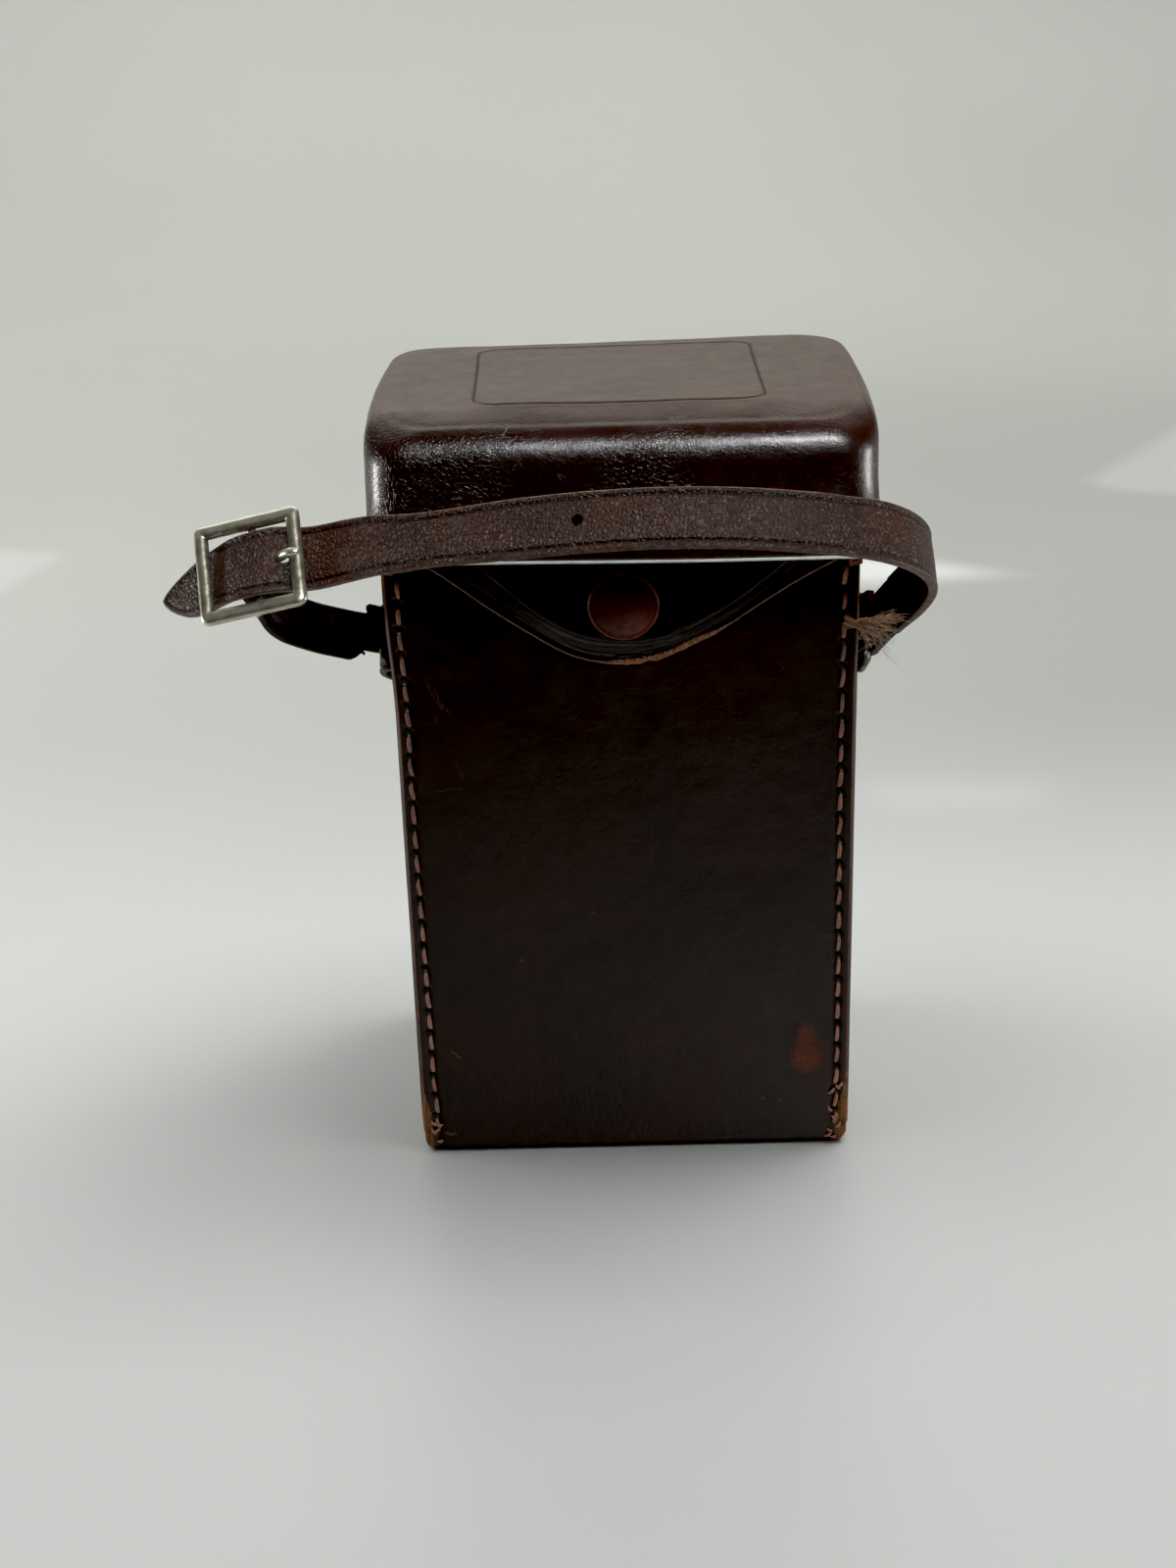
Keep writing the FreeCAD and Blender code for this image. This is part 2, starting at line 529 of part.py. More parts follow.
# ---------------------------------------------------------------- tabs and rings
def tab():
    """Folded leather tab in the loop frame, for the right side."""
    w = 11.0
    flat = Part.makeBox(2 * T_TAB, 14.0, w, V(TAB_X0, PIV_U - 2.0, -w / 2))
    end = Part.makeCylinder(w / 2, 2 * T_TAB, V(TAB_X0, PIV_U - 0.2, 0), V(1, 0, 0))
    flat = Part.makeBox(2 * T_TAB, RING_A[1] - 1.0 - PIV_U + 0.2, w, V(TAB_X0, PIV_U - 0.2, -w / 2))
    t = flat.fuse(end)
    t = t.fuse(Part.makeCylinder(RING_R + 0.12 + T_TAB, w, V(RING_A[0], RING_A[1], -w / 2), V(0, 0, 1)))
    t = t.cut(Part.makeCylinder(RING_R + 0.12, w + 2, V(RING_A[0], RING_A[1], -w / 2 - 1), V(0, 0, 1)))
    t = t.cut(Part.makeCylinder(1.5, 20, V(TAB_X0 - 5, PIV_U, 0), V(1, 0, 0)))
    return t.removeSplitter()


def ring_loop():
    a = V(RING_A[0], RING_A[1], 0)
    b = V(RING_B[0], RING_B[1], 0)
    d = b.sub(a)
    ln = d.Length
    d.normalize()
    k = 1.6
    z = V(0, 0, 1)
    H = RING_W
    P = lambda s, w: a.add(d * s).add(z * w)
    q = k * (1 - math.sqrt(0.5))
    e = [Part.LineSegment(P(0, -H + k), P(0, H - k)).toShape(),
         Part.Arc(P(0, H - k), P(q, H - q), P(k, H)).toShape(),
         Part.LineSegment(P(k, H), P(ln - k, H)).toShape(),
         Part.Arc(P(ln - k, H), P(ln - q, H - q), P(ln, H - k)).toShape(),
         Part.LineSegment(P(ln, H - k), P(ln, -H + k)).toShape(),
         Part.Arc(P(ln, -H + k), P(ln - q, -H + q), P(ln - k, -H)).toShape(),
         Part.LineSegment(P(ln - k, -H), P(k, -H)).toShape(),
         Part.Arc(P(k, -H), P(q, -H + q), P(0, -H + k)).toShape()]
    spine = Part.Wire(e)
    prof = Part.Wire([Part.Circle(P(0, 0), z, RING_R).toShape()])
    # start the sweep on the middle of the rear bar
    e2 = [Part.LineSegment(P(0, 0), P(0, H - k)).toShape()] + e[1:] + [Part.LineSegment(P(0, -H + k), P(0, 0)).toShape()]
    spine = Part.Wire(e2)
    return spine.makePipeShell([prof], True, True)


tr = tab()
tl = tr.mirror(V(0, 0, 0), V(1, 0, 0))
save("swivel_tabs", Part.makeCompound([loop(tr), loop(tl)]))
rr = ring_loop()
rl = rr.mirror(V(0, 0, 0), V(1, 0, 0))
save("strap_rings", Part.makeCompound([loop(rr), loop(rl)]))


# ---------------------------------------------------------------- buckle
def in_buckle(shape):
    """From the buckle's own frame (X towards the tip, Y outwards, Z along the bars)."""
    s = shape.copy()
    rot = Rotation(V(0, 0, 1), math.degrees(math.atan2(BD.y, BD.x)))
    # local Y must point outwards (BF): with X = BD, Z stays along the bars
    s.Placement = Placement(BC, rot).multiply(s.Placement)
    return s


# in this frame +Y is -BF, so outward is -Y
def frame_ring():
    hw, hh, k = BUC_W / 2 - BUC_R, BUC_H / 2 - BUC_R, 1.6
    q = k * (1 - math.sqrt(0.5))
    P = lambda s, w: V(s, 0, w)
    e = [Part.LineSegment(P(-hw, 0), P(-hw, hh - k)).toShape(),
         Part.Arc(P(-hw, hh - k), P(-hw + q, hh - q), P(-hw + k, hh)).toShape(),
         Part.LineSegment(P(-hw + k, hh), P(hw - k, hh)).toShape(),
         Part.Arc(P(hw - k, hh), P(hw - q, hh - q), P(hw, hh - k)).toShape(),
         Part.LineSegment(P(hw, hh - k), P(hw, -hh + k)).toShape(),
         Part.Arc(P(hw, -hh + k), P(hw - q, -hh + q), P(hw - k, -hh)).toShape(),
         Part.LineSegment(P(hw - k, -hh), P(-hw + k, -hh)).toShape(),
         Part.Arc(P(-hw + k, -hh), P(-hw + q, -hh + q), P(-hw, -hh + k)).toShape(),
         Part.LineSegment(P(-hw, -hh + k), P(-hw, 0)).toShape()]
    prof = Part.Wire([Part.Circle(P(-hw, 0), V(0, 0, 1), BUC_R).toShape()])
    return Part.Wire(e).makePipeShell([prof], True, True)


fr = frame_ring()
fr.Placement = Placement(V(0, 0, 0), Rotation(V(0, 1, 0), BUC_TILT))
hh = BUC_H / 2 - BUC_R
bar_y = -BAR_V
centre = Part.makeCylinder(BAR_R, 2 * (hh + 0.3), V(0, bar_y, -hh - 0.3), V(0, 0, 1))
legs = Part.makeBox(2.0, bar_y + 0.6, 1.6, V(-1.0, -0.4, hh - 0.8)).fuse(
    Part.makeBox(2.0, bar_y + 0.6, 1.6, V(-1.0, -0.4, -hh - 0.8)))
buckle = fr.fuse(centre).fuse(legs)
save("buckle_frame", loop(in_buckle(buckle.removeSplitter())))

# prong: turns on the centre bar, its tip lies on the frame's right bar
pr = Part.makeCylinder(BAR_R + 0.08 + 1.1, 2.6, V(0, bar_y, -1.3), V(0, 0, 1))
tipx, tipy = -(BUC_W / 2 - BUC_R) - 1.1, -2.95
d = V(tipx, tipy - bar_y, 0)
ln = d.Length
d.normalize()
rod = Part.makeCylinder(0.8, ln, V(0, bar_y, 0), d)
tipball = Part.makeSphere(0.8, V(tipx, tipy, 0))
pr = pr.fuse(rod).fuse(tipball)
pr = pr.cut(Part.makeCylinder(BAR_R + 0.08, 10, V(0, bar_y, -5), V(0, 0, 1)))
save("buckle_prong", loop(in_buckle(pr.removeSplitter())))
save("fold_stitching", Part.makeCompound([loop(s) for s in STITCHES_RAW]))

# pivots, for reference
bw = LOOP.multVec(V(BB[0], BB[1], 0))
print("tab pivot", round(PIV_Y, 3), round(PIV_Z, 3))
print("prong axis through", round(bw.x, 3), round(bw.y, 3), round(bw.z, 3))
for n_, s_ in NODES.items():
    bb = s_.BoundBox
    print(n_, "valid", s_.isValid(), "solids", len(s_.Solids), "vol", round(s_.Volume, 1),
          "box", [round(v, 2) for v in (bb.XMin, bb.XMax, bb.YMin, bb.YMax, bb.ZMin, bb.ZMax)])
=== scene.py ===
import bpy
import bmesh
import math
import numpy as np
from mathutils import Vector, Matrix


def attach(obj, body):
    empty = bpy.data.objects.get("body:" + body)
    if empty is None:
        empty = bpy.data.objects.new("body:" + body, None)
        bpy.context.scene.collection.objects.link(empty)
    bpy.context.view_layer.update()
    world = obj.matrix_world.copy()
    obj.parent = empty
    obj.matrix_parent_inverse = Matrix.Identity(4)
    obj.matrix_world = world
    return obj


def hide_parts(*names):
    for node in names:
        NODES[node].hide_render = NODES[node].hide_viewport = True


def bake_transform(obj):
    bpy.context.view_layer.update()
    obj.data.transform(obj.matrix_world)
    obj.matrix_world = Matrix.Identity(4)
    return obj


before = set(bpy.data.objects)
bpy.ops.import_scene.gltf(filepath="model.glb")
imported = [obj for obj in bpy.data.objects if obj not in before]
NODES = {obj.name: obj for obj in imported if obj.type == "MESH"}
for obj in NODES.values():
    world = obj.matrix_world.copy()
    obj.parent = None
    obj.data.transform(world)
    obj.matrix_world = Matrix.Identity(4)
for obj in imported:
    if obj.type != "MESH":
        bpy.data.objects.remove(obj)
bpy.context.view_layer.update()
scene = bpy.context.scene
MM = 0.001


# ------------------------------------------------------------------ numbers
def srgb(r, g, b):
    out = []
    for c in (r, g, b):
        c = c / 255.0
        out.append(c / 12.92 if c <= 0.04045 else ((c + 0.055) / 1.055) ** 2.4)
    return (out[0], out[1], out[2], 1.0)


def hash3(i, j, k, seed):
    h = np.sin(i * 127.1 + j * 311.7 + k * 74.7 + seed * 53.31) * 43758.5453
    return h - np.floor(h)


def vnoise(p, seed=0):
    """Smooth lattice noise in -1..1 at the points p (N, 3)."""
    i = np.floor(p)
    f = p - i
    u = f * f * (3 - 2 * f)
    out = np.zeros(len(p))
    for a in (0, 1):
        for b in (0, 1):
            for c in (0, 1):
                w = (u[:, 0] if a else 1 - u[:, 0]) * (u[:, 1] if b else 1 - u[:, 1]) * (u[:, 2] if c else 1 - u[:, 2])
                out += w * hash3(i[:, 0] + a, i[:, 1] + b, i[:, 2] + c, seed)
    return out * 2 - 1


def fbm(p, seed=0, octaves=3):
    out, amp, tot = np.zeros(len(p)), 1.0, 0.0
    for o in range(octaves):
        out += amp * vnoise(p * (2 ** o) + 17.3 * o, seed + o)
        tot += amp
        amp *= 0.5
    return out / tot


def smooth(e0, e1, x):
    t = np.clip((np.asarray(x, float) - e0) / (e1 - e0), 0, 1)
    return t * t * (3 - 2 * t)


# ------------------------------------------------------------------ meshes
def make(name, verts, faces, mats, body=None, fmat=None, attrs=None, sharp=40.0, uv=None):
    """A mesh object from millimetre points."""
    me = bpy.data.meshes.new(name)
    me.from_pydata((np.asarray(verts, float) * MM).tolist(), [], [tuple(int(v) for v in f) for f in faces])
    for m in (mats if isinstance(mats, (list, tuple)) else [mats]):
        me.materials.append(m)
    if fmat is not None:
        me.polygons.foreach_set("material_index", np.asarray(fmat, np.int32))
    for k, v in (attrs or {}).items():
        a = me.attributes.new(k, "FLOAT", "POINT")
        a.data.foreach_set("value", np.asarray(v, np.float32))
    me.validate()
    ob = bpy.data.objects.new(name, me)
    scene.collection.objects.link(ob)
    finish_normals(ob, sharp)
    if body:
        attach(ob, body)
    return ob


def finish_normals(ob, sharp=40.0):
    me = ob.data
    me.polygons.foreach_set("use_smooth", np.ones(len(me.polygons), bool))
    bm = bmesh.new()
    bm.from_mesh(me)
    bmesh.ops.recalc_face_normals(bm, faces=bm.faces)
    lim = math.radians(sharp)
    for e in bm.edges:
        if len(e.link_faces) == 2:
            e.smooth = e.calc_face_angle(0.0) < lim
    bm.to_mesh(me)
    bm.free()
    me.update()


def grid_faces(n, m, wrap_m=False, wrap_n=False):
    """Quads of a grid of n rows by m columns, row-major."""
    out = []
    for i in range(n if wrap_n else n - 1):
        a0, b0 = i * m, ((i + 1) % n) * m
        for j in range(m if wrap_m else m - 1):
            k = (j + 1) % m
            out.append((a0 + j, a0 + k, b0 + k, b0 + j))
    return out


def grid_normals(P, wrap_m=False):
    """Unit normals of a grid of points (n, m, 3)."""
    du = np.gradient(P, axis=0)
    if wrap_m:
        dv = (np.roll(P, -1, 1) - np.roll(P, 1, 1)) / 2
    else:
        dv = np.gradient(P, axis=1)
    N = np.cross(du, dv)
    L = np.linalg.norm(N, axis=2, keepdims=True)
    L[L < 1e-9] = 1
    return N / L


def boolean_cut(ob, verts, faces, keep_smooth=40.0):
    """Removes a closed solid (mm) from an object."""
    me = bpy.data.meshes.new("cutter")
    me.from_pydata((np.asarray(verts, float) * MM).tolist(), [], [tuple(int(v) for v in f) for f in faces])
    me.validate()
    c = bpy.data.objects.new("cutter", me)
    scene.collection.objects.link(c)
    bm = bmesh.new()
    bm.from_mesh(me)
    bmesh.ops.recalc_face_normals(bm, faces=bm.faces)
    bm.to_mesh(me)
    bm.free()
    mod = ob.modifiers.new("cut", "BOOLEAN")
    mod.operation = "DIFFERENCE"
    mod.solver = "EXACT"
    mod.object = c
    dg = bpy.context.evaluated_depsgraph_get()
    new = bpy.data.meshes.new_from_object(ob.evaluated_get(dg), depsgraph=dg)
    ob.modifiers.clear()
    old = ob.data
    ob.data = new
    bpy.data.meshes.remove(old)
    bpy.data.objects.remove(c)
    finish_normals(ob, keep_smooth)


def box_solid(lo, hi):
    x0, y0, z0 = lo
    x1, y1, z1 = hi
    v = [(x0, y0, z0), (x1, y0, z0), (x1, y1, z0), (x0, y1, z0), (x0, y0, z1), (x1, y0, z1), (x1, y1, z1), (x0, y1, z1)]
    f = [(0, 3, 2, 1), (4, 5, 6, 7), (0, 1, 5, 4), (1, 2, 6, 5), (2, 3, 7, 6), (3, 0, 4, 7)]
    return v, f


def prism(c, ax, p, q, rp, rq, h, n=28):
    """An elliptic prism about c, along ax, with half widths rp along p and rq along q."""
    c, ax, p, q = (np.array(t, float) for t in (c, ax, p, q))
    v = []
    for s in (-h, h):
        for k in range(n):
            t = 2 * math.pi * k / n
            v.append(c + ax * s + p * (rp * math.cos(t)) + q * (rq * math.sin(t)))
    f = [tuple(range(n - 1, -1, -1)), tuple(range(n, 2 * n))]
    for k in range(n):
        f.append((k, (k + 1) % n, n + (k + 1) % n, n + k))
    return v, f


def tube(P, R, sides=8, closed_ends=True, flat=None):
    """Verts and faces of a tube along the points P, radius R (number or one per point).
    flat = (direction, factor) squeezes the section along a direction."""
    P = np.asarray(P, float)
    n = len(P)
    R = np.broadcast_to(np.asarray(R, float), (n,))
    T = np.gradient(P, axis=0)
    T /= np.linalg.norm(T, axis=1)[:, None] + 1e-12
    ref = np.array([0.0, 0.0, 1.0]) if abs(T[0, 2]) < 0.9 else np.array([1.0, 0.0, 0.0])
    a = np.cross(T[0], ref)
    a /= np.linalg.norm(a)
    V = []
    for i in range(n):
        a = a - T[i] * (a @ T[i])
        a /= np.linalg.norm(a)
        b = np.cross(T[i], a)
        for k in range(sides):
            t = 2 * math.pi * k / sides
            o = a * math.cos(t) + b * math.sin(t)
            if flat is not None:
                d = np.asarray(flat[0], float)
                o = o - d * (o @ d) * (1 - flat[1])
            V.append(P[i] + o * R[i])
    F = grid_faces(n, sides, wrap_m=True)
    if closed_ends:
        F.append(tuple(range(sides - 1, -1, -1)))
        F.append(tuple((n - 1) * sides + k for k in range(sides)))
    return V, F


class Bag:
    """Collects pieces into one mesh."""

    def __init__(self):
        self.v, self.f, self.tone, self.fm = [], [], [], []

    def add(self, v, f, tone=0.5, fm=0):
        o = len(self.v)
        self.v.extend([tuple(p) for p in v])
        self.f.extend([tuple(i + o for i in q) for q in f])
        self.tone.extend([tone] * len(v))
        self.fm.extend([fm] * len(f))


# ------------------------------------------------------------------ materials
class NT:
    """Short node building for one material."""

    def __init__(self, name):
        self.mat = bpy.data.materials.new(name)
        self.mat.use_nodes = True
        self.t = self.mat.node_tree
        self.t.nodes.clear()
        self.out = self.t.nodes.new("ShaderNodeOutputMaterial")
        self.bsdf = self.t.nodes.new("ShaderNodeBsdfPrincipled")
        self.t.links.new(self.bsdf.outputs[0], self.out.inputs[0])
        self.tc = self.t.nodes.new("ShaderNodeTexCoord")
        self.mm = self.vm("SCALE", self.tc.outputs["Object"], 1000.0)

    def put(self, sock, v):
        if isinstance(v, bpy.types.NodeSocket):
            self.t.links.new(v, sock)
        else:
            sock.default_value = v

    def m(self, op, a, b=None, clamp=False):
        n = self.t.nodes.new("ShaderNodeMath")
        n.operation = op
        n.use_clamp = clamp
        self.put(n.inputs[0], a)
        if b is not None:
            self.put(n.inputs[1], b)
        return n.outputs[0]

    def vm(self, op, a, b=None):
        n = self.t.nodes.new("ShaderNodeVectorMath")
        n.operation = op
        self.put(n.inputs[0], a)
        if op == "SCALE":
            self.put(n.inputs["Scale"], b)
        elif b is not None:
            self.put(n.inputs[1], b)
        return n.outputs["Value"] if op in ("DOT_PRODUCT", "LENGTH", "DISTANCE") else n.outputs["Vector"]

    def noise(self, vec, scale, detail=3.0, rough=0.55, dist=0.0, colour=False):
        n = self.t.nodes.new("ShaderNodeTexNoise")
        self.put(n.inputs["Vector"], vec)
        n.inputs["Scale"].default_value = scale
        n.inputs["Detail"].default_value = detail
        n.inputs["Roughness"].default_value = rough
        n.inputs["Distortion"].default_value = dist
        return n.outputs["Color"] if colour else n.outputs[0]

    def voro(self, vec, scale, feature="F1", rand=1.0, smoothness=None):
        n = self.t.nodes.new("ShaderNodeTexVoronoi")
        n.feature = feature
        self.put(n.inputs["Vector"], vec)
        n.inputs["Scale"].default_value = scale
        n.inputs["Randomness"].default_value = rand
        if smoothness is not None:
            n.inputs["Smoothness"].default_value = smoothness
        return n.outputs["Distance"]

    def ramp(self, v, a, b, lo=0.0, hi=1.0, kind="SMOOTHSTEP"):
        n = self.t.nodes.new("ShaderNodeMapRange")
        n.interpolation_type = kind
        self.put(n.inputs["Value"], v)
        n.inputs["From Min"].default_value = a
        n.inputs["From Max"].default_value = b
        n.inputs["To Min"].default_value = lo
        n.inputs["To Max"].default_value = hi
        return n.outputs["Result"]

    def mix(self, fac, a, b):
        n = self.t.nodes.new("ShaderNodeMix")
        n.data_type = "RGBA"
        self.put(n.inputs["Factor"], fac)
        ca = [s for s in n.inputs if s.name == "A" and s.type == "RGBA"][0]
        cb = [s for s in n.inputs if s.name == "B" and s.type == "RGBA"][0]
        self.put(ca, a)
        self.put(cb, b)
        return [s for s in n.outputs if s.type == "RGBA"][0]

    def attr(self, name):
        n = self.t.nodes.new("ShaderNodeAttribute")
        n.attribute_name = name
        return n.outputs["Fac"]

    def sep(self, v):
        n = self.t.nodes.new("ShaderNodeSeparateXYZ")
        self.put(n.inputs[0], v)
        return n.outputs[0], n.outputs[1], n.outputs[2]

    def comb(self, x, y, z):
        n = self.t.nodes.new("ShaderNodeCombineXYZ")
        for s, v in zip(n.inputs, (x, y, z)):
            self.put(s, v)
        return n.outputs[0]

    def bump(self, height, dist_mm, strength=1.0, normal=None):
        n = self.t.nodes.new("ShaderNodeBump")
        n.inputs["Strength"].default_value = strength
        n.inputs["Distance"].default_value = dist_mm * MM
        self.put(n.inputs["Height"], height)
        if normal is not None:
            self.put(n.inputs["Normal"], normal)
        return n.outputs[0]

    def seg(self, p, a, b, w, soft=0.5):
        """Mask round a straight scratch from a to b (x, z in mm), half width w."""
        A = Vector((a[0], 0, a[1]))
        D = Vector((b[0] - a[0], 0, b[1] - a[1]))
        rel = self.vm("SUBTRACT", p, A)
        t = self.m("DIVIDE", self.vm("DOT_PRODUCT", rel, D), D.length_squared, clamp=True)
        near = self.vm("SCALE", D, t)
        d = self.vm("DISTANCE", rel, near)
        return self.ramp(d, w * (1 - soft), w * (1 + soft), 1.0, 0.0)

    def spot(self, p, c, rx, rz, edge=0.35, wob=None):
        """Mask of an elliptic patch about c (x, z in mm)."""
        rel = self.vm("SUBTRACT", p, Vector((c[0], 0, c[1])))
        d = self.vm("LENGTH", self.vm("MULTIPLY", rel, Vector((1 / rx, 0, 1 / rz))))
        if wob is not None:
            d = self.m("ADD", d, wob)
        return self.ramp(d, 1 - edge, 1 + edge, 1.0, 0.0)

    def mx(self, *masks):
        out = masks[0]
        for k in masks[1:]:
            out = self.m("MAXIMUM", out, k)
        return out

    def set(self, **kw):
        names = {"color": "Base Color", "rough": "Roughness", "metal": "Metallic", "spec": "Specular IOR Level",
                 "coat": "Coat Weight", "coat_rough": "Coat Roughness", "normal": "Normal", "sheen": "Sheen Weight",
                 "sheen_rough": "Sheen Roughness", "ior": "IOR", "sheen_tint": "Sheen Tint", "coat_normal": "Coat Normal"}
        for k, v in kw.items():
            self.put(self.bsdf.inputs[names[k]], v)
        return self.mat


# main leather of the body: near-black brown, worn
def mat_body():
    n = NT("body_leather_worn")
    p = n.mm
    x, y, z = n.sep(p)
    big = n.noise(p, 0.028, 3, 0.6)
    mid = n.noise(p, 0.16, 4, 0.6)
    fine = n.noise(p, 1.5, 3, 0.6)
    base = n.mix(n.ramp(big, 0.38, 0.66), srgb(30, 14, 8), srgb(41, 20, 12))
    base = n.mix(n.ramp(mid, 0.5, 0.8, 0, 0.35), base, srgb(46, 25, 19))
    # front wear, in the plane of the panel
    wob = n.vm("SCALE", n.vm("SUBTRACT", n.noise(p, 0.55, 3, 0.6, colour=True), Vector((0.5, 0.5, 0.5))), 1.6)
    flat = n.vm("MULTIPLY", n.vm("ADD", p, wob), Vector((1, 0, 1)))
    front = n.ramp(y, -34.5, -35.0)
    wobs = n.ramp(n.noise(p, 0.5, 4, 0.65), 0.2, 0.8, -0.38, 0.38, "LINEAR")
    rub = n.mx(n.spot(flat, (39.5, 23.3), 3.3, 4.0, 0.42, wobs), n.m("MULTIPLY", n.spot(flat, (39.2, 27.4), 2.0, 3.6, 0.5, wobs), 0.9))
    rubtex = n.ramp(n.noise(p, 0.9, 4, 0.7), 0.3, 0.72, 0.45, 1.0)
    rub = n.m("MULTIPLY", rub, rubtex)
    scr = n.mx(n.m("MULTIPLY", n.seg(flat, (-42.8, 117.6), (-41.9, 114.2), 0.16), 0.3),
               n.m("MULTIPLY", n.seg(flat, (-41.9, 114.2), (-39.3, 110.2), 0.17), 0.4),
               n.m("MULTIPLY", n.seg(flat, (-40.7, 114.6), (-39.9, 111.0), 0.16), 0.5),
               n.m("MULTIPLY", n.spot(flat, (-39.6, 111.0), 0.5, 0.9, 0.5), 0.45),
               n.m("MULTIPLY", n.seg(flat, (-38.6, 110.8), (-38.3, 109.4), 0.16), 0.4),
               n.m("MULTIPLY", n.seg(flat, (-41.2, 108.4), (-41.0, 107.2), 0.3), 0.16),
               n.m("MULTIPLY", n.seg(flat, (-41.7, 26.6), (-40.2, 24.8), 0.3), 0.6),
               n.m("MULTIPLY", n.seg(flat, (-44.3, 4.8), (-42.3, 4.7), 0.35), 0.8),
               n.m("MULTIPLY", n.seg(flat, (-36.5, 91.9), (-41.5, 91.5), 0.18), 0.22),
               n.m("MULTIPLY", n.seg(flat, (-37.2, 98.0), (-36.0, 94.5), 0.25), 0.16),
               n.m("MULTIPLY", n.seg(flat, (32.2, 118.9), (33.4, 117.4), 0.2), 0.3),
               n.m("MULTIPLY", n.spot(flat, (-8.5, 61.2), 0.5, 0.4, 0.4), 0.4),
               n.m("MULTIPLY", n.spot(flat, (-25.1, 49.6), 0.45, 0.4, 0.4), 0.4),
               n.m("MULTIPLY", n.spot(flat, (29.5, 12.5), 0.3, 0.5, 0.4), 0.35),
               n.m("MULTIPLY", n.spot(flat, (33.6, 12.0), 0.3, 0.3, 0.4), 0.3))
    scr = n.m("MULTIPLY", scr, n.ramp(n.noise(p, 2.2, 3, 0.6), 0.35, 0.6, 0.3, 1.0))
    # light specks all over the leather
    spk = n.ramp(n.voro(p, 0.16, "F1"), 0.035, 0.02)
    spk = n.m("MULTIPLY", spk, n.ramp(n.noise(p, 0.09, 1), 0.5, 0.62))
    c = n.mix(n.m("MULTIPLY", rub, front), base, srgb(126, 64, 35))
    c = n.mix(n.m("MULTIPLY", scr, front), c, srgb(128, 82, 62))
    c = n.mix(n.m("MULTIPLY", spk, 0.5), c, srgb(120, 104, 92))
    # raw edges and worn corners
    e = n.attr("edge")
    edgec = n.mix(n.ramp(n.noise(p, 0.12, 3), 0.4, 0.62), srgb(104, 66, 48), srgb(140, 84, 48))
    brk = n.ramp(n.noise(p, 0.35, 4, 0.7), 0.36, 0.56)
    em = n.m("MULTIPLY", n.ramp(e, 0.75, 0.25), n.m("ADD", n.m("MULTIPLY", brk, 0.6), 0.32))
    c = n.mix(em, c, edgec)
    w = n.attr("wear")
    wm = n.ramp(n.m("ADD", w, n.ramp(n.noise(p, 0.7, 4, 0.7), 0.25, 0.75, -0.28, 0.28, "LINEAR")), 0.42, 0.6)
    wearc = n.mix(n.ramp(n.noise(n.vm("MULTIPLY", p, Vector((1, 1, 0.35))), 1.3, 4, 0.7), 0.35, 0.65), srgb(104, 60, 24), srgb(160, 108, 52))
    c = n.mix(wm, c, wearc)
    h = n.attr("hole")
    # painted shade: the awl holes are coloured near-black for the shade inside them
    c = n.mix(n.ramp(h, 0.25, 0.7), c, srgb(4, 3, 3))
    rough = n.ramp(mid, 0.3, 0.75, 0.31, 0.42, "LINEAR")
    rough = n.m("ADD", rough, n.m("MULTIPLY", n.mx(wm, n.m("MULTIPLY", rub, front), em), 0.4), clamp=True)
    rough = n.m("ADD", rough, n.m("MULTIPLY", n.ramp(h, 0.04, 0.3), 0.55), clamp=True)
    grain = n.m("ADD", n.m("MULTIPLY", n.voro(p, 1.25, "SMOOTH_F1", 1.0, 0.6), 0.5), n.m("MULTIPLY", fine, 0.8))
    nrm = n.bump(grain, 0.06, 0.7)
    nrm = n.bump(n.noise(p, 0.22, 3, 0.6), 0.5, 0.3, nrm)
    return n.set(color=c, rough=rough, normal=nrm, spec=0.31, coat=0.03, coat_rough=0.3)


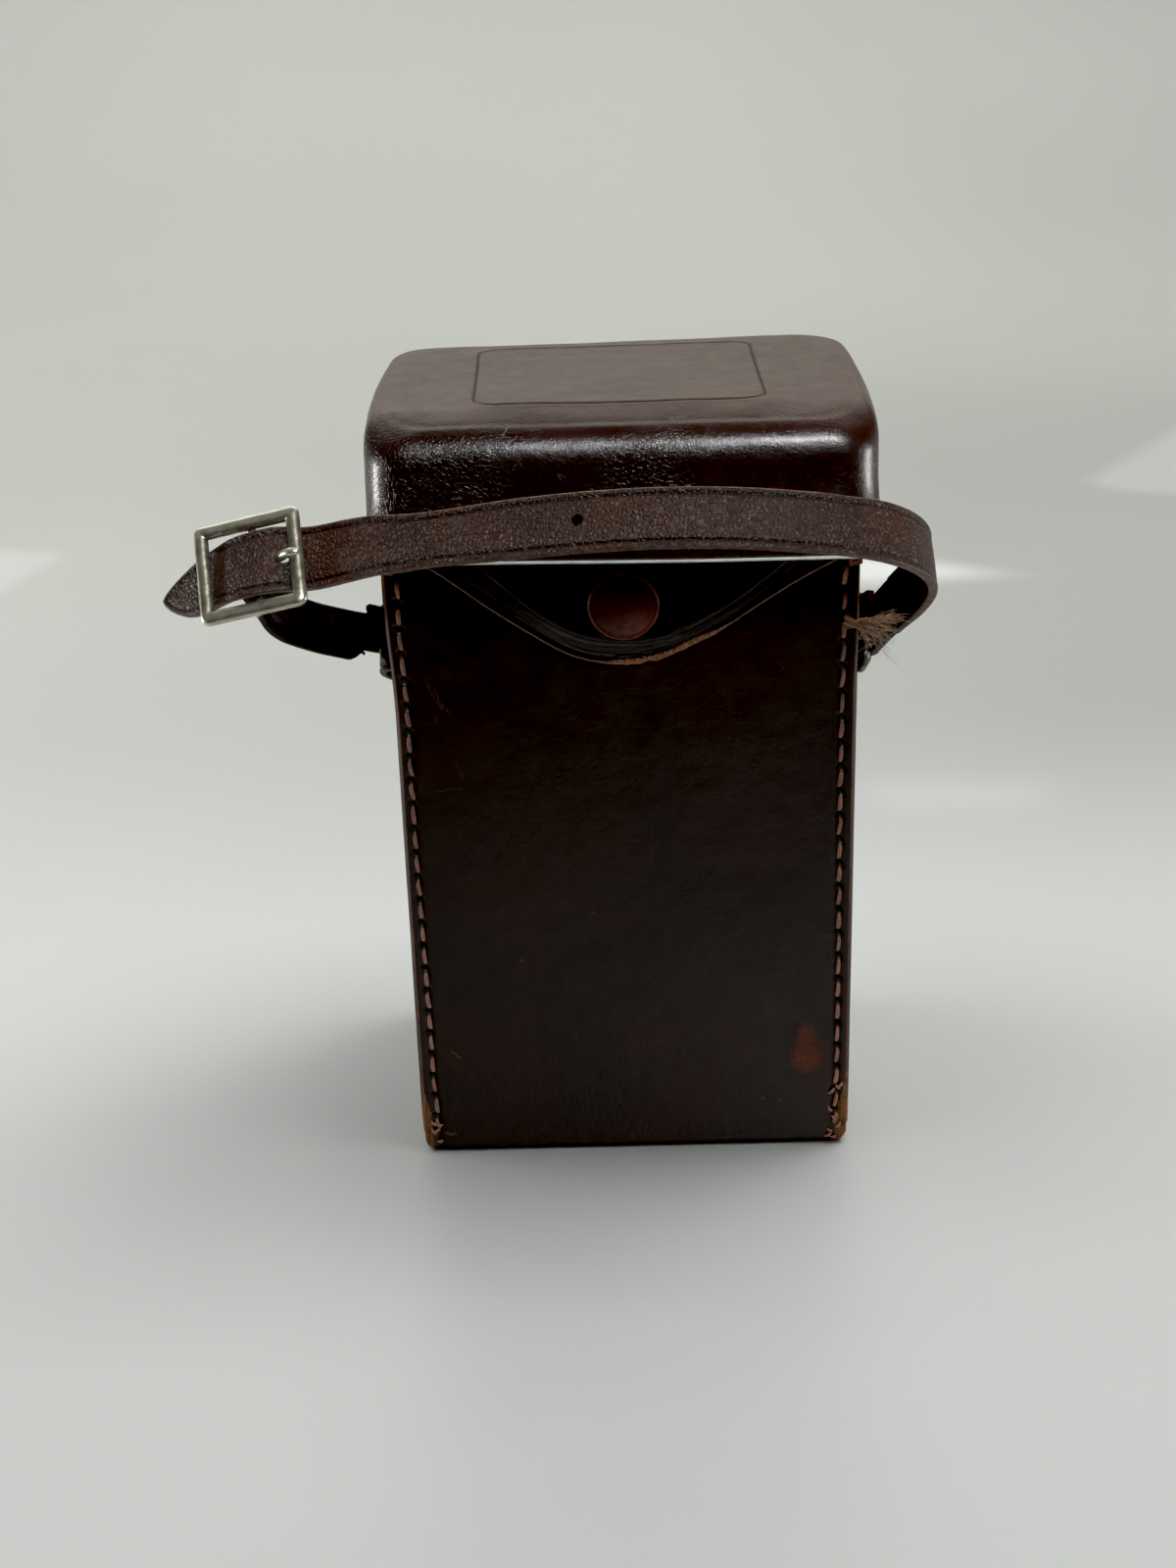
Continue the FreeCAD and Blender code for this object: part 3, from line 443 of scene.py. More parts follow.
# moulded, glossy lid leather
def mat_lid():
    n = NT("lid_leather_gloss")
    p = n.mm
    x, y, z = n.sep(p)
    big = n.noise(p, 0.035, 3, 0.6)
    mid = n.noise(p, 0.2, 4, 0.6)
    base = n.mix(n.ramp(big, 0.35, 0.68), srgb(34, 12, 7), srgb(46, 18, 11))
    # painted light: the lid's colour is lightened towards its right, where the light falls
    base = n.mix(n.ramp(x, -25.0, 52.0, 0.0, 0.5), base, srgb(62, 30, 21))
    # painted sheen: the top is coloured lighter and olive, standing in for part of the sheen it shows
    top = n.ramp(z, 170.5, 173.8)
    base = n.mix(n.m("MULTIPLY", top, n.ramp(n.noise(n.vm("MULTIPLY", p, Vector((0.5, 1, 1))), 0.22, 4, 0.65), 0.35, 0.7, 0.35, 0.95)), base, srgb(66, 46, 30))
    # rubbed edges: fine wrinkles and short light scuffs
    wob = n.vm("SCALE", n.vm("SUBTRACT", n.noise(p, 0.5, 3, 0.6, colour=True), Vector((0.5, 0.5, 0.5))), 1.4)
    flat = n.vm("MULTIPLY", n.vm("ADD", p, wob), Vector((1, 0, 1)))
    front = n.ramp(y, -33.0, -36.0)
    nick = n.mx(n.seg(flat, (-22.0, 163.8), (-20.8, 165.6), 0.13), n.seg(flat, (-20.6, 165.2), (-20.2, 164.3), 0.12),
                n.seg(flat, (-13.0, 162.6), (-12.2, 161.2), 0.14), n.seg(flat, (-12.4, 162.4), (-11.6, 162.0), 0.1),
                n.seg(flat, (-34.7, 158.0), (-33.2, 158.3), 0.2), n.seg(flat, (-33.2, 167.0), (-31.6, 170.4), 0.12),
                n.seg(flat, (-31.4, 167.2), (-30.4, 169.6), 0.1), n.seg(flat, (-48.9, 171.2), (-47.2, 172.9), 0.22),
                n.seg(flat, (-23.9, 170.0), (-22.8, 171.6), 0.1), n.seg(flat, (50.6, 163.4), (51.4, 160.0), 0.22),
                n.seg(flat, (51.0, 161.6), (52.4, 161.3), 0.16), n.seg(flat, (10.0, 172.0), (13.6, 172.2), 0.12))
    nick = n.m("MULTIPLY", nick, front)
    wearz = n.m("MULTIPLY", n.ramp(z, 163.0, 167.0), n.ramp(z, 172.4, 169.6))
    scuff = n.ramp(n.noise(n.vm("MULTIPLY", p, Vector((0.45, 1, 1.4))), 1.1, 4, 0.7), 0.6, 0.72)
    scuff = n.m("MULTIPLY", n.m("MULTIPLY", scuff, wearz), n.ramp(n.noise(p, 0.08, 2), 0.42, 0.6))
    c = n.mix(n.m("MULTIPLY", scuff, 0.45), base, srgb(112, 84, 74))
    nick = n.m("MULTIPLY", nick, n.ramp(n.noise(p, 1.6, 3, 0.7), 0.4, 0.6, 0.1, 1.0))
    c = n.mix(n.m("MULTIPLY", nick, 0.75), c, srgb(150, 126, 112))
    spk = n.ramp(n.voro(p, 0.2, "F1"), 0.04, 0.02)
    spk = n.m("MULTIPLY", spk, n.ramp(n.noise(p, 0.1, 1), 0.48, 0.6))
    c = n.mix(n.m("MULTIPLY", spk, 0.5), c, srgb(150, 130, 115))
    gr = n.attr("groove")
    # painted shade: the embossed groove is darkened
    c = n.mix(n.m("MULTIPLY", n.ramp(gr, 0.3, 1.0), 0.5), c, srgb(26, 12, 8))
    e = n.attr("edge")
    c = n.mix(n.m("MULTIPLY", n.ramp(e, 0.5, 0.2), 0.6), c, srgb(84, 56, 44))
    rough = n.m("ADD", n.ramp(mid, 0.3, 0.75, 0.25, 0.36, "LINEAR"), n.m("MULTIPLY", top, 0.13))
    rough = n.m("ADD", rough, n.m("MULTIPLY", n.m("ADD", nick, scuff), 0.3), clamp=True)
    rough = n.m("ADD", rough, n.m("MULTIPLY", n.ramp(gr, 0.3, 0.95), 0.3), clamp=True)
    warp = n.vm("ADD", p, n.vm("SCALE", n.noise(p, 0.35, 2, colour=True), 1.1))
    cell = n.voro(n.vm("MULTIPLY", warp, Vector((1.0, 1.0, 0.7))), 1.15, "DISTANCE_TO_EDGE")
    crk = n.ramp(cell, 0.0, 0.13)
    strong = n.m("ADD", n.ramp(n.noise(p, 0.06, 3, 0.6), 0.38, 0.62, 0.3, 1.0), 0.0)
    wr = n.noise(n.vm("MULTIPLY", warp, Vector((0.5, 1.0, 1.0))), 0.9, 3, 0.55)
    wrk = n.ramp(n.m("ABSOLUTE", n.m("SUBTRACT", wr, 0.5)), 0.0, 0.12)
    grain = n.m("ADD", n.m("MULTIPLY", n.m("MULTIPLY", crk, strong), 0.7), n.m("MULTIPLY", n.noise(p, 2.1, 4, 0.7), 0.9))
    nrm = n.bump(grain, 0.08, 0.8)
    nrm = n.bump(n.m("MULTIPLY", wrk, n.m("MULTIPLY", strong, n.ramp(z, 163.5, 167.5))), 0.05, 0.5, nrm)
    nrm = n.bump(n.noise(p, 0.3, 3, 0.6), 0.5, 0.3, nrm)
    return n.set(color=c, rough=rough, normal=nrm, spec=0.42, coat=0.2, coat_rough=0.24)


# strap grain
def mat_strap(name="strap_leather_grain", k=1.0):
    n = NT(name)
    p = n.mm
    big = n.noise(p, 0.05, 3, 0.6)
    mid = n.noise(p, 0.5, 4, 0.6)
    base = n.mix(n.ramp(big, 0.35, 0.68), srgb(62 * k, 34 * k, 22 * k), srgb(82 * k, 48 * k, 33 * k))
    base = n.mix(n.ramp(mid, 0.45, 0.75, 0, 0.45), base, srgb(48 * k, 27 * k, 20 * k))
    g = n.attr("groove")
    # painted shade: the groove lines are darkened
    base = n.mix(n.m("MULTIPLY", n.ramp(g, 0.3, 1.0), 0.85), base, srgb(20 * k, 10 * k, 7 * k))
    warp = n.vm("ADD", p, n.vm("SCALE", n.noise(p, 0.9, 2, colour=True), 0.35))
    cell = n.voro(n.vm("MULTIPLY", warp, Vector((1.0, 0.8, 0.8))), 1.15, "DISTANCE_TO_EDGE")
    peb = n.ramp(cell, 0.0, 0.34)
    base = n.mix(n.m("MULTIPLY", n.ramp(peb, 0.6, 0.0), 0.6), base, srgb(40 * k, 22 * k, 16 * k))
    spk = n.ramp(n.voro(p, 0.33, "F1"), 0.05, 0.03)
    base = n.mix(n.m("MULTIPLY", spk, 0.12), base, srgb(130, 106, 94))
    grain = n.m("ADD", n.m("MULTIPLY", peb, 0.8), n.m("MULTIPLY", n.noise(p, 2.0, 3, 0.6), 0.5))
    nrm = n.bump(grain, 0.2, 1.0)
    nrm = n.bump(n.noise(p, 0.25, 3, 0.6), 0.4, 0.25, nrm)
    rough = n.ramp(mid, 0.3, 0.75, 0.43, 0.54, "LINEAR")
    return n.set(color=base, rough=rough, normal=nrm, spec=0.34)


def mat_edge():
    n = NT("strap_cut_edge")
    p = n.mm
    c = n.mix(n.ramp(n.noise(p, 0.6, 4, 0.7), 0.35, 0.65), srgb(70, 46, 38), srgb(120, 92, 78))
    # painted shade: the cut edge is made dark along the strap's tail, its fold round the right ring and its rise up the
    # case's right side
    c = n.mix(n.attr("back"), c, srgb(24, 15, 11))
    nrm = n.bump(n.noise(p, 2.4, 3, 0.7), 0.12, 0.5)
    return n.set(color=c, rough=0.55, normal=nrm, spec=0.4)


def mat_flesh():
    n = NT("leather_flesh_side")
    p = n.mm
    c = n.mix(n.ramp(n.noise(p, 0.5, 4, 0.7), 0.35, 0.65), srgb(24, 15, 12), srgb(44, 29, 23))
    nrm = n.bump(n.noise(p, 2.6, 4, 0.75), 0.15, 0.6)
    return n.set(color=c, rough=0.85, normal=nrm, spec=0.2)


def mat_thread():
    n = NT("waxed_thread")
    p = n.mm
    t = n.attr("tone")
    c = n.mix(t, srgb(138, 86, 62), srgb(206, 152, 130))
    c = n.mix(n.ramp(n.noise(p, 1.6, 3, 0.7), 0.5, 0.72, 0, 0.55), c, srgb(104, 64, 46))
    c = n.mix(n.ramp(n.noise(p, 5.0, 2, 0.6), 0.58, 0.7, 0, 0.5), c, srgb(232, 205, 190))
    twist = n.t.nodes.new("ShaderNodeTexWave")
    twist.wave_type = "BANDS"
    twist.bands_direction = "DIAGONAL"
    twist.inputs["Scale"].default_value = 0.55
    twist.inputs["Distortion"].default_value = 1.2
    n.put(twist.inputs["Vector"], p)
    nrm = n.bump(twist.outputs["Fac"], 0.12, 0.5)
    nrm = n.bump(n.noise(p, 6.0, 3, 0.7), 0.08, 0.7, nrm)
    return n.set(color=c, rough=0.8, normal=nrm, spec=0.25, sheen=0.15)


def mat_dark_thread():
    n = NT("dark_thread")
    p = n.mm
    c = n.mix(n.ramp(n.noise(p, 2.0, 3, 0.7), 0.4, 0.65), srgb(24, 15, 11), srgb(44, 28, 20))
    return n.set(color=c, rough=0.75, normal=n.bump(n.noise(p, 6.0, 3, 0.7), 0.08, 0.7), spec=0.2)


def mat_fibre():
    n = NT("frayed_fibre")
    t = n.attr("tone")
    c = n.mix(t, srgb(150, 90, 54), srgb(244, 226, 202))
    return n.set(color=c, rough=0.8, spec=0.2)


def mat_metal(name, light, dark, rough_lo=0.2, rough_hi=0.38, metal=1.0):
    n = NT(name)
    p = n.mm
    c = n.mix(n.ramp(n.noise(p, 0.28, 4, 0.65), 0.48, 0.75, 0, 0.7), light, dark)
    pit = n.ramp(n.noise(p, 1.5, 4, 0.75), 0.66, 0.74)
    c = n.mix(n.m("MULTIPLY", pit, 0.5), c, dark)
    # darkening by the patina attribute: real patina on the rings, and painted shade on parts of the buckle and on the
    # left ring
    dirt_and_shade = n.m("MULTIPLY", n.attr("patina_and_shade"), n.ramp(n.noise(p, 0.5, 4, 0.7), 0.25, 0.6, 0.45, 1.0))
    c = n.mix(dirt_and_shade, c, (dark[0] * 0.22, dark[1] * 0.2, dark[2] * 0.16, 1))
    r = n.m("ADD", n.ramp(n.noise(p, 0.9, 3), 0.3, 0.7, rough_lo, rough_hi, "LINEAR"), n.m("MULTIPLY", pit, 0.2))
    nrm = n.bump(n.noise(p, 0.6, 3, 0.55), 0.06, 0.5)
    return n.set(color=c, metal=metal, rough=r, normal=nrm)


def mat_cap():
    n = NT("snap_lacquer")
    p = n.mm
    x, y, z = n.sep(p)
    lo = n.ramp(n.m("SUBTRACT", n.m("MULTIPLY", x, 0.4), z), -134.5, -126.5)
    c = n.mix(n.m("MULTIPLY", lo, n.ramp(n.noise(p, 0.7, 4, 0.7), 0.32, 0.62)), srgb(62, 9, 5), srgb(116, 46, 24))
    c = n.mix(n.ramp(n.noise(p, 2.5, 3, 0.7), 0.6, 0.72, 0, 0.5), c, srgb(40, 10, 8))
    e = n.attr("rim_painted_highlight")
    # painted highlight: broken light arcs along the rim
    c = n.mix(n.m("MULTIPLY", e, n.ramp(n.noise(p, 0.28, 3, 0.7), 0.42, 0.6, 0.08, 0.9)), c, srgb(142, 100, 90))
    nrm = n.bump(n.noise(p, 1.1, 4, 0.7), 0.1, 0.4)
    return n.set(color=c, rough=0.42, normal=nrm, spec=0.3, coat=0.08, coat_rough=0.25)


def mat_rim():
    n = NT("rim_polish")
    p = n.mm
    c = n.mix(n.ramp(n.noise(p, 0.1, 3), 0.4, 0.65), srgb(226, 226, 222), srgb(244, 244, 240))
    return n.set(color=c, rough=0.26, metal=0.75, spec=0.6)


def mat_lining():
    n = NT("lining_suede")
    p = n.mm
    c = n.mix(n.ramp(n.noise(p, 0.3, 5, 0.7), 0.35, 0.65), srgb(84, 48, 33), srgb(118, 76, 54))
    nrm = n.bump(n.noise(p, 2.2, 4, 0.8), 0.2, 0.6)
    return n.set(color=c, rough=0.92, normal=nrm, spec=0.15, sheen=0.4, sheen_rough=0.5)


def mat_raw():
    n = NT("raw_edge_tan")
    p = n.mm
    c = n.mix(n.ramp(n.noise(p, 0.6, 4, 0.7), 0.35, 0.65), srgb(96, 58, 34), srgb(162, 108, 66))
    nrm = n.bump(n.noise(p, 2.2, 4, 0.8), 0.25, 0.7)
    return n.set(color=c, rough=0.85, normal=nrm, spec=0.2)


def mat_tongue():
    n = NT("tongue_leather")
    p = n.mm
    x, y, z = n.sep(p)
    big = n.noise(p, 0.05, 3, 0.6)
    base = n.mix(n.ramp(big, 0.35, 0.68), srgb(20, 13, 11), srgb(32, 21, 18))
    e = n.attr("edge")
    g = n.attr("groove")
    # scuffed band between the crease and the edge, stronger at the left
    left = n.ramp(x, 6.0, -22.0)
    along = n.comb(n.m("MULTIPLY", e, 3.2), n.m("MULTIPLY", x, 0.16), 0.0)
    lines = n.ramp(n.noise(along, 1.0, 4, 0.7, 0.3), 0.5, 0.64)
    cross = n.ramp(n.noise(n.comb(n.m("MULTIPLY", e, 0.9), n.m("MULTIPLY", x, 2.2), 0.0), 1.0, 3, 0.7), 0.44, 0.62)
    band = n.m("MULTIPLY", n.ramp(e, 5.6, 4.2), n.ramp(e, 1.2, 2.6))
    sc = n.m("MULTIPLY", n.m("MULTIPLY", band, n.mx(lines, n.m("MULTIPLY", cross, 0.6))), n.m("ADD", n.m("MULTIPLY", left, 0.22), 0.03))
    dots = n.ramp(n.voro(n.comb(n.m("MULTIPLY", e, 1.0), n.m("MULTIPLY", x, 1.5), 0.0), 1.3, "F1"), 0.3, 0.12)
    sc = n.m("MULTIPLY", sc, n.m("ADD", n.m("MULTIPLY", dots, 1.1), 0.35))
    c = n.mix(sc, base, srgb(118, 106, 100))
    # painted shade: the crease is darkened
    c = n.mix(n.m("MULTIPLY", n.ramp(g, 0.3, 1.0), 0.5), c, srgb(12, 8, 7))
    # painted highlight: a thin light line along the lip of the crease
    crease_lip_highlight = n.m("MULTIPLY", n.ramp(g, 0.05, 0.3), n.ramp(g, 0.7, 0.4))
    c = n.mix(n.m("MULTIPLY", crease_lip_highlight, n.ramp(n.noise(p, 0.5, 3, 0.6), 0.35, 0.6, 0.15, 0.5)), c, srgb(74, 64, 60))
    # raw edge: thin and pinkish brown, wider and tan at the bottom centre and right
    mid = n.m("MULTIPLY", n.ramp(x, -7.0, 0.0), n.ramp(x, 24.0, 14.0))
    wid = n.m("ADD", n.m("MULTIPLY", mid, 0.75), 0.4)
    nz = n.ramp(n.noise(p, 1.4, 5, 0.75), 0.2, 0.8, -0.45, 0.45, "LINEAR")
    d = n.m("ADD", n.m("SUBTRACT", e, wid), n.m("MULTIPLY", nz, n.m("ADD", n.m("MULTIPLY", mid, 0.8), 0.25)))
    em = n.ramp(d, 0.12, -0.12)
    fib = n.noise(n.vm("MULTIPLY", p, Vector((1, 1, 0.5))), 3.0, 4, 0.8)
    tan = n.mix(n.ramp(fib, 0.35, 0.65), srgb(104, 58, 34), srgb(206, 148, 108))
    pink = n.mix(n.ramp(fib, 0.35, 0.65), srgb(108, 76, 64), srgb(164, 122, 108))
    ec = n.mix(mid, pink, tan)
    c = n.mix(em, c, ec)
    grain = n.m("ADD", n.m("MULTIPLY", n.voro(p, 1.2, "SMOOTH_F1", 1.0, 0.6), 0.5), n.m("MULTIPLY", n.noise(p, 1.5, 3, 0.6), 0.8))
    nrm = n.bump(grain, 0.05, 0.5)
    nrm = n.bump(n.m("MULTIPLY", lines, band), 0.10, 0.6, nrm)
    rough = n.m("ADD", 0.38, n.m("MULTIPLY", n.mx(em, sc), 0.4), clamp=True)
    return n.set(color=c, rough=rough, normal=nrm, spec=0.25, coat=0.06, coat_rough=0.3)


M_BODY, M_LID, M_STRAP, M_EDGE, M_FLESH = mat_body(), mat_lid(), mat_strap(), mat_edge(), mat_flesh()
# painted shade: a darker copy of the strap leather for the short strap, which lies in shade; the tabs share it
M_STRAP_SHADED = mat_strap("short_strap_leather_shaded", 0.72)
M_THREAD, M_FIBRE, M_CAP, M_RIM, M_LINING, M_RAW, M_TONGUE = (mat_thread(), mat_fibre(), mat_cap(), mat_rim(), mat_lining(),
                                                              mat_raw(), mat_tongue())
M_NICKEL = mat_metal("aged_nickel", (0.80, 0.77, 0.62, 1), (0.42, 0.39, 0.28, 1), 0.28, 0.42, 0.85)
M_DARKRING = mat_metal("blackened_ring", (0.16, 0.15, 0.12, 1), (0.06, 0.05, 0.04, 1), 0.38, 0.5)
M_BRASS = mat_metal("dull_brass", (0.52, 0.40, 0.22, 1), (0.18, 0.13, 0.08, 1), 0.3, 0.5)
M_DTHREAD = mat_dark_thread()
M_STEEL = mat_metal("spring_steel", (0.6, 0.6, 0.6, 1), (0.3, 0.3, 0.3, 1), 0.2, 0.3)

# ------------------------------------------------------------------ camera
PITCH, YAW, ROLL = math.radians(22.7057), math.radians(-0.7342), math.radians(-1.7341)
fw = Vector((math.sin(YAW) * math.cos(PITCH), math.cos(YAW) * math.cos(PITCH), -math.sin(PITCH)))
rt = Vector((math.cos(YAW), -math.sin(YAW), 0))
up = rt.cross(fw)
r_ = rt * math.cos(ROLL) + up * math.sin(ROLL)
u_ = up * math.cos(ROLL) - rt * math.sin(ROLL)
cam = bpy.data.cameras.new("camera")
cam.sensor_width = 36.0
cam.sensor_fit = "AUTO"
cam.lens = 2198.657 / 1600 * 36.0
cam.clip_start, cam.clip_end = 0.01, 20
cam_ob = bpy.data.objects.new("camera", cam)
scene.collection.objects.link(cam_ob)
mw = Matrix((( r_.x, u_.x, -fw.x, -3.3025 * MM), (r_.y, u_.y, -fw.y, -467.348 * MM), (r_.z, u_.z, -fw.z, 272.966 * MM), (0, 0, 0, 1)))
cam_ob.matrix_world = mw
scene.camera = cam_ob

# ------------------------------------------------------------------ body
HX, HY, BR, TOPZ, TS = 49.3, 35.5, 2.9, 156.0, 2.4


def body_path():
    """Rows down the front, under, and up the back: (y, z, ny, nz)."""
    rows = []
    for z in np.arange(TOPZ, 143.0, -2.2):
        rows.append((-HY, z, -1, 0))
    for z in np.arange(142.6, BR + 0.1, -0.55):
        rows.append((-HY, z, -1, 0))
    for a in np.linspace(0, math.pi / 2, 11):
        c, q = math.cos(a), math.sin(a)
        k = BR / (c ** 3.4 + q ** 3.4) ** (1 / 3.4)
        rows.append((-HY + BR - k * c, BR - k * q, -c, -q))
    for y in np.linspace(-HY + BR + 2, HY - BR - 2, 32):
        rows.append((y, 0, 0, -1))
    for a in np.linspace(0, math.pi / 2, 8):
        rows.append((HY - BR + BR * math.sin(a), BR - BR * math.cos(a), math.sin(a), -math.cos(a)))
    for z in np.arange(BR + 0.8, 127.0, 0.8):
        rows.append((HY, z, 1, 0))
    for z in np.linspace(128.0, TOPZ, 14):
        rows.append((HY, z, 1, 0))
    return np.array(rows)


LEFT_Z = [137.1, 131.3, 125.7, 120.1, 114.1, 108.3, 102.4, 96.8, 91.3, 85.5, 79.6, 73.8, 68.1, 62.4, 56.7, 51.0, 45.3, 39.8, 34.3, 28.9, 23.1, 17.8, 12.2, 7.6]
RIGHT_Z = [138.0, 132.3, 125.9, 120.7, 114.9, 109.1, 103.3, 97.6, 91.9, 86.2, 80.5, 74.7, 69.0, 63.3, 57.5, 51.8, 46.0, 40.2, 34.5, 28.7, 23.2, 17.6, 11.4, 6.6]
LX, RX_ = -47.0, 46.1


def seam_x(side, z):
    """x of the stitch line."""
    if side < 0:
        return LX + 0.22 + 0.35 * math.sin(z * 0.045 + 0.6) + 0.3 * float(smooth(124, 138, z)) + 0.45 * float(smooth(20, 12, z))
    return RX_ + 0.15 * math.sin(z * 0.05)


def holes(side):
    zs = LEFT_Z if side < 0 else RIGHT_Z
    out = []
    for a, b in zip(zs[:-1], zs[1:]):
        out.append((a + b) / 2)
    return out


def flare(x, y, z):
    """The case has spread a little at its upper left front."""
    return -1.3 * smooth(106, 138, z) * smooth(143.7, 141.2, z) * smooth(-43, -47.5, x) * smooth(-12, -33, y)


def slim(x, z):
    """The wrap is trimmed a little closer down its right edge."""
    corner = 1.5 * smooth(3.4, -0.2, z) ** 1.5 * (smooth(46.4, 49.2, -x) - smooth(46.4, 49.2, x))
    return -0.45 * smooth(128, 112, z) * smooth(47.0, 48.6, x) + corner


def build_body():
    rows = body_path()
    xs = list(np.linspace(-HX, -HX + 0.6, 4)) + list(np.arange(-48.45, -44.6, 0.27)) + list(np.linspace(-44.2, 43.6, 52)) \
        + list(np.arange(44.0, 48.4, 0.27)) + list(np.linspace(HX - 0.6, HX, 4))
    xs = np.array(sorted(xs))
    n, m = len(rows), len(xs)
    Y, Z, NY, NZ = (np.repeat(rows[:, k][:, None], m, 1) for k in range(4))
    X = np.repeat(xs[None, :], n, 0)
    d = np.zeros((n, m))
    # rounded long edges
    k = np.clip(np.abs(X) - (HX - 0.6), 0, 0.6)
    d -= 0.6 - np.sqrt(np.maximum(0.36 - k * k, 0))
    P = np.stack([X, Y, Z], -1).reshape(-1, 3)
    wav = 0.22 * fbm(P / 26.0, 3, 2).reshape(n, m) + 0.05 * fbm(P / 5.0, 8, 2).reshape(n, m)
    seamfade = smooth(49.2, 44.0, np.abs(X))
    d += wav * (0.35 + 0.65 * seamfade) * smooth(0.2, 8.0, Z) * smooth(143.8, 138.0, Z)
    # the leather is drawn in a little along the seams
    hole = np.zeros((n, m))
    for side in (-1, 1):
        sx = np.array([[seam_x(side, z) for z in rows[:, 1]]]).T
        lat = X - sx
        d -= 0.26 * np.exp(-(lat / 0.9) ** 2) * (NZ > -0.9)
        for iz, hz in enumerate(holes(side)):
            for face in (-1, 1):
                sel = (np.sign(Y) == face) & (np.abs(Z - hz) < 3) & (np.abs(NY) > 0.9)
                if not sel.any():
                    continue
                # a slanted awl slit
                ang = math.radians(-34 + 10 * math.sin(iz * 2.7 + side))
                ux, uz = math.cos(ang), math.sin(ang)
                a = (X - seam_x(side, hz) - 0.12 * side) * ux * 1.0 + (Z - hz) * uz
                b = -(X - seam_x(side, hz) - 0.12 * side) * uz + (Z - hz) * ux
                g = np.exp(-((a / 0.95) ** 2 + (b / 0.50) ** 2) ** 1.4)
                g = np.where(sel, g, 0)
                hole = np.maximum(hole, g)
    d -= hole * 1.0
    rs = np.hypot(X + 0.3, Z - 133.6) + 99.0 * (NY > -0.9)
    d = d * smooth(5.0, 8.5, rs) - 0.06 * smooth(7.5, 5.0, rs)
    outer = np.stack([X, Y + NY * d, Z + NZ * d], -1)
    # nothing reaches below the ground
    outer[..., 2] = np.maximum(outer[..., 2], 0.0)
    outer[..., 0] += flare(X, Y, Z) + slim(X, Z)
    inner = np.stack([X * 1.0, Y - NY * TS, np.maximum(Z - NZ * TS, 0)], -1)
    inner[..., 0] = np.clip(inner[..., 0], -HX, HX) + flare(X, Y, Z) + slim(X, Z)
    V = np.concatenate([outer.reshape(-1, 3), inner.reshape(-1, 3)])
    F = grid_faces(n, m)
    o = n * m
    F += [(a + o, dd + o, c + o, b + o) for a, b, c, dd in grid_faces(n, m)]
    for i in range(n - 1):
        for j, s in ((0, 1), (m - 1, -1)):
            a, b = i * m + j, (i + 1) * m + j
            F.append((a, b, b + o, a + o) if s > 0 else (b, a, a + o, b + o))
    for i, s in ((0, 1), (n - 1, -1)):
        for j in range(m - 1):
            a, b = i * m + j, i * m + j + 1
            F.append((b, a, a + o, b + o) if s > 0 else (a, b, b + o, a + o))
    ed = HX - np.abs(X)
    wear = np.zeros((n, m))
    # rubbed lower corners
    lim = np.where(X > 0, 18.5, 17.5)
    wid = np.where(X > 0, 0.5 + 2.6 * smooth(19, 6, Z), 0.35 + 1.5 * smooth(18, 9, Z))
    wear = smooth(wid + 0.5, np.maximum(wid - 0.5, 0.0), HX - np.abs(X)) * smooth(lim + 2.5, lim - 1.0, Z)
    wear = np.where(NZ < -0.5, np.maximum(wear, 0.55 * smooth(46.5, 48.8, np.abs(X))), wear)
    E = np.concatenate([ed.reshape(-1), np.full(n * m, 0.1)])
    W = np.concatenate([wear.reshape(-1), np.full(n * m, 0.35)])
    H = np.concatenate([hole.reshape(-1), np.zeros(n * m)])
    ob = make("body_wrap", V, F, [M_BODY], None, attrs={"edge": E, "wear": W, "hole": H}, sharp=55)
    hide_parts("body_wrap_strip")
    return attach(ob, "case")


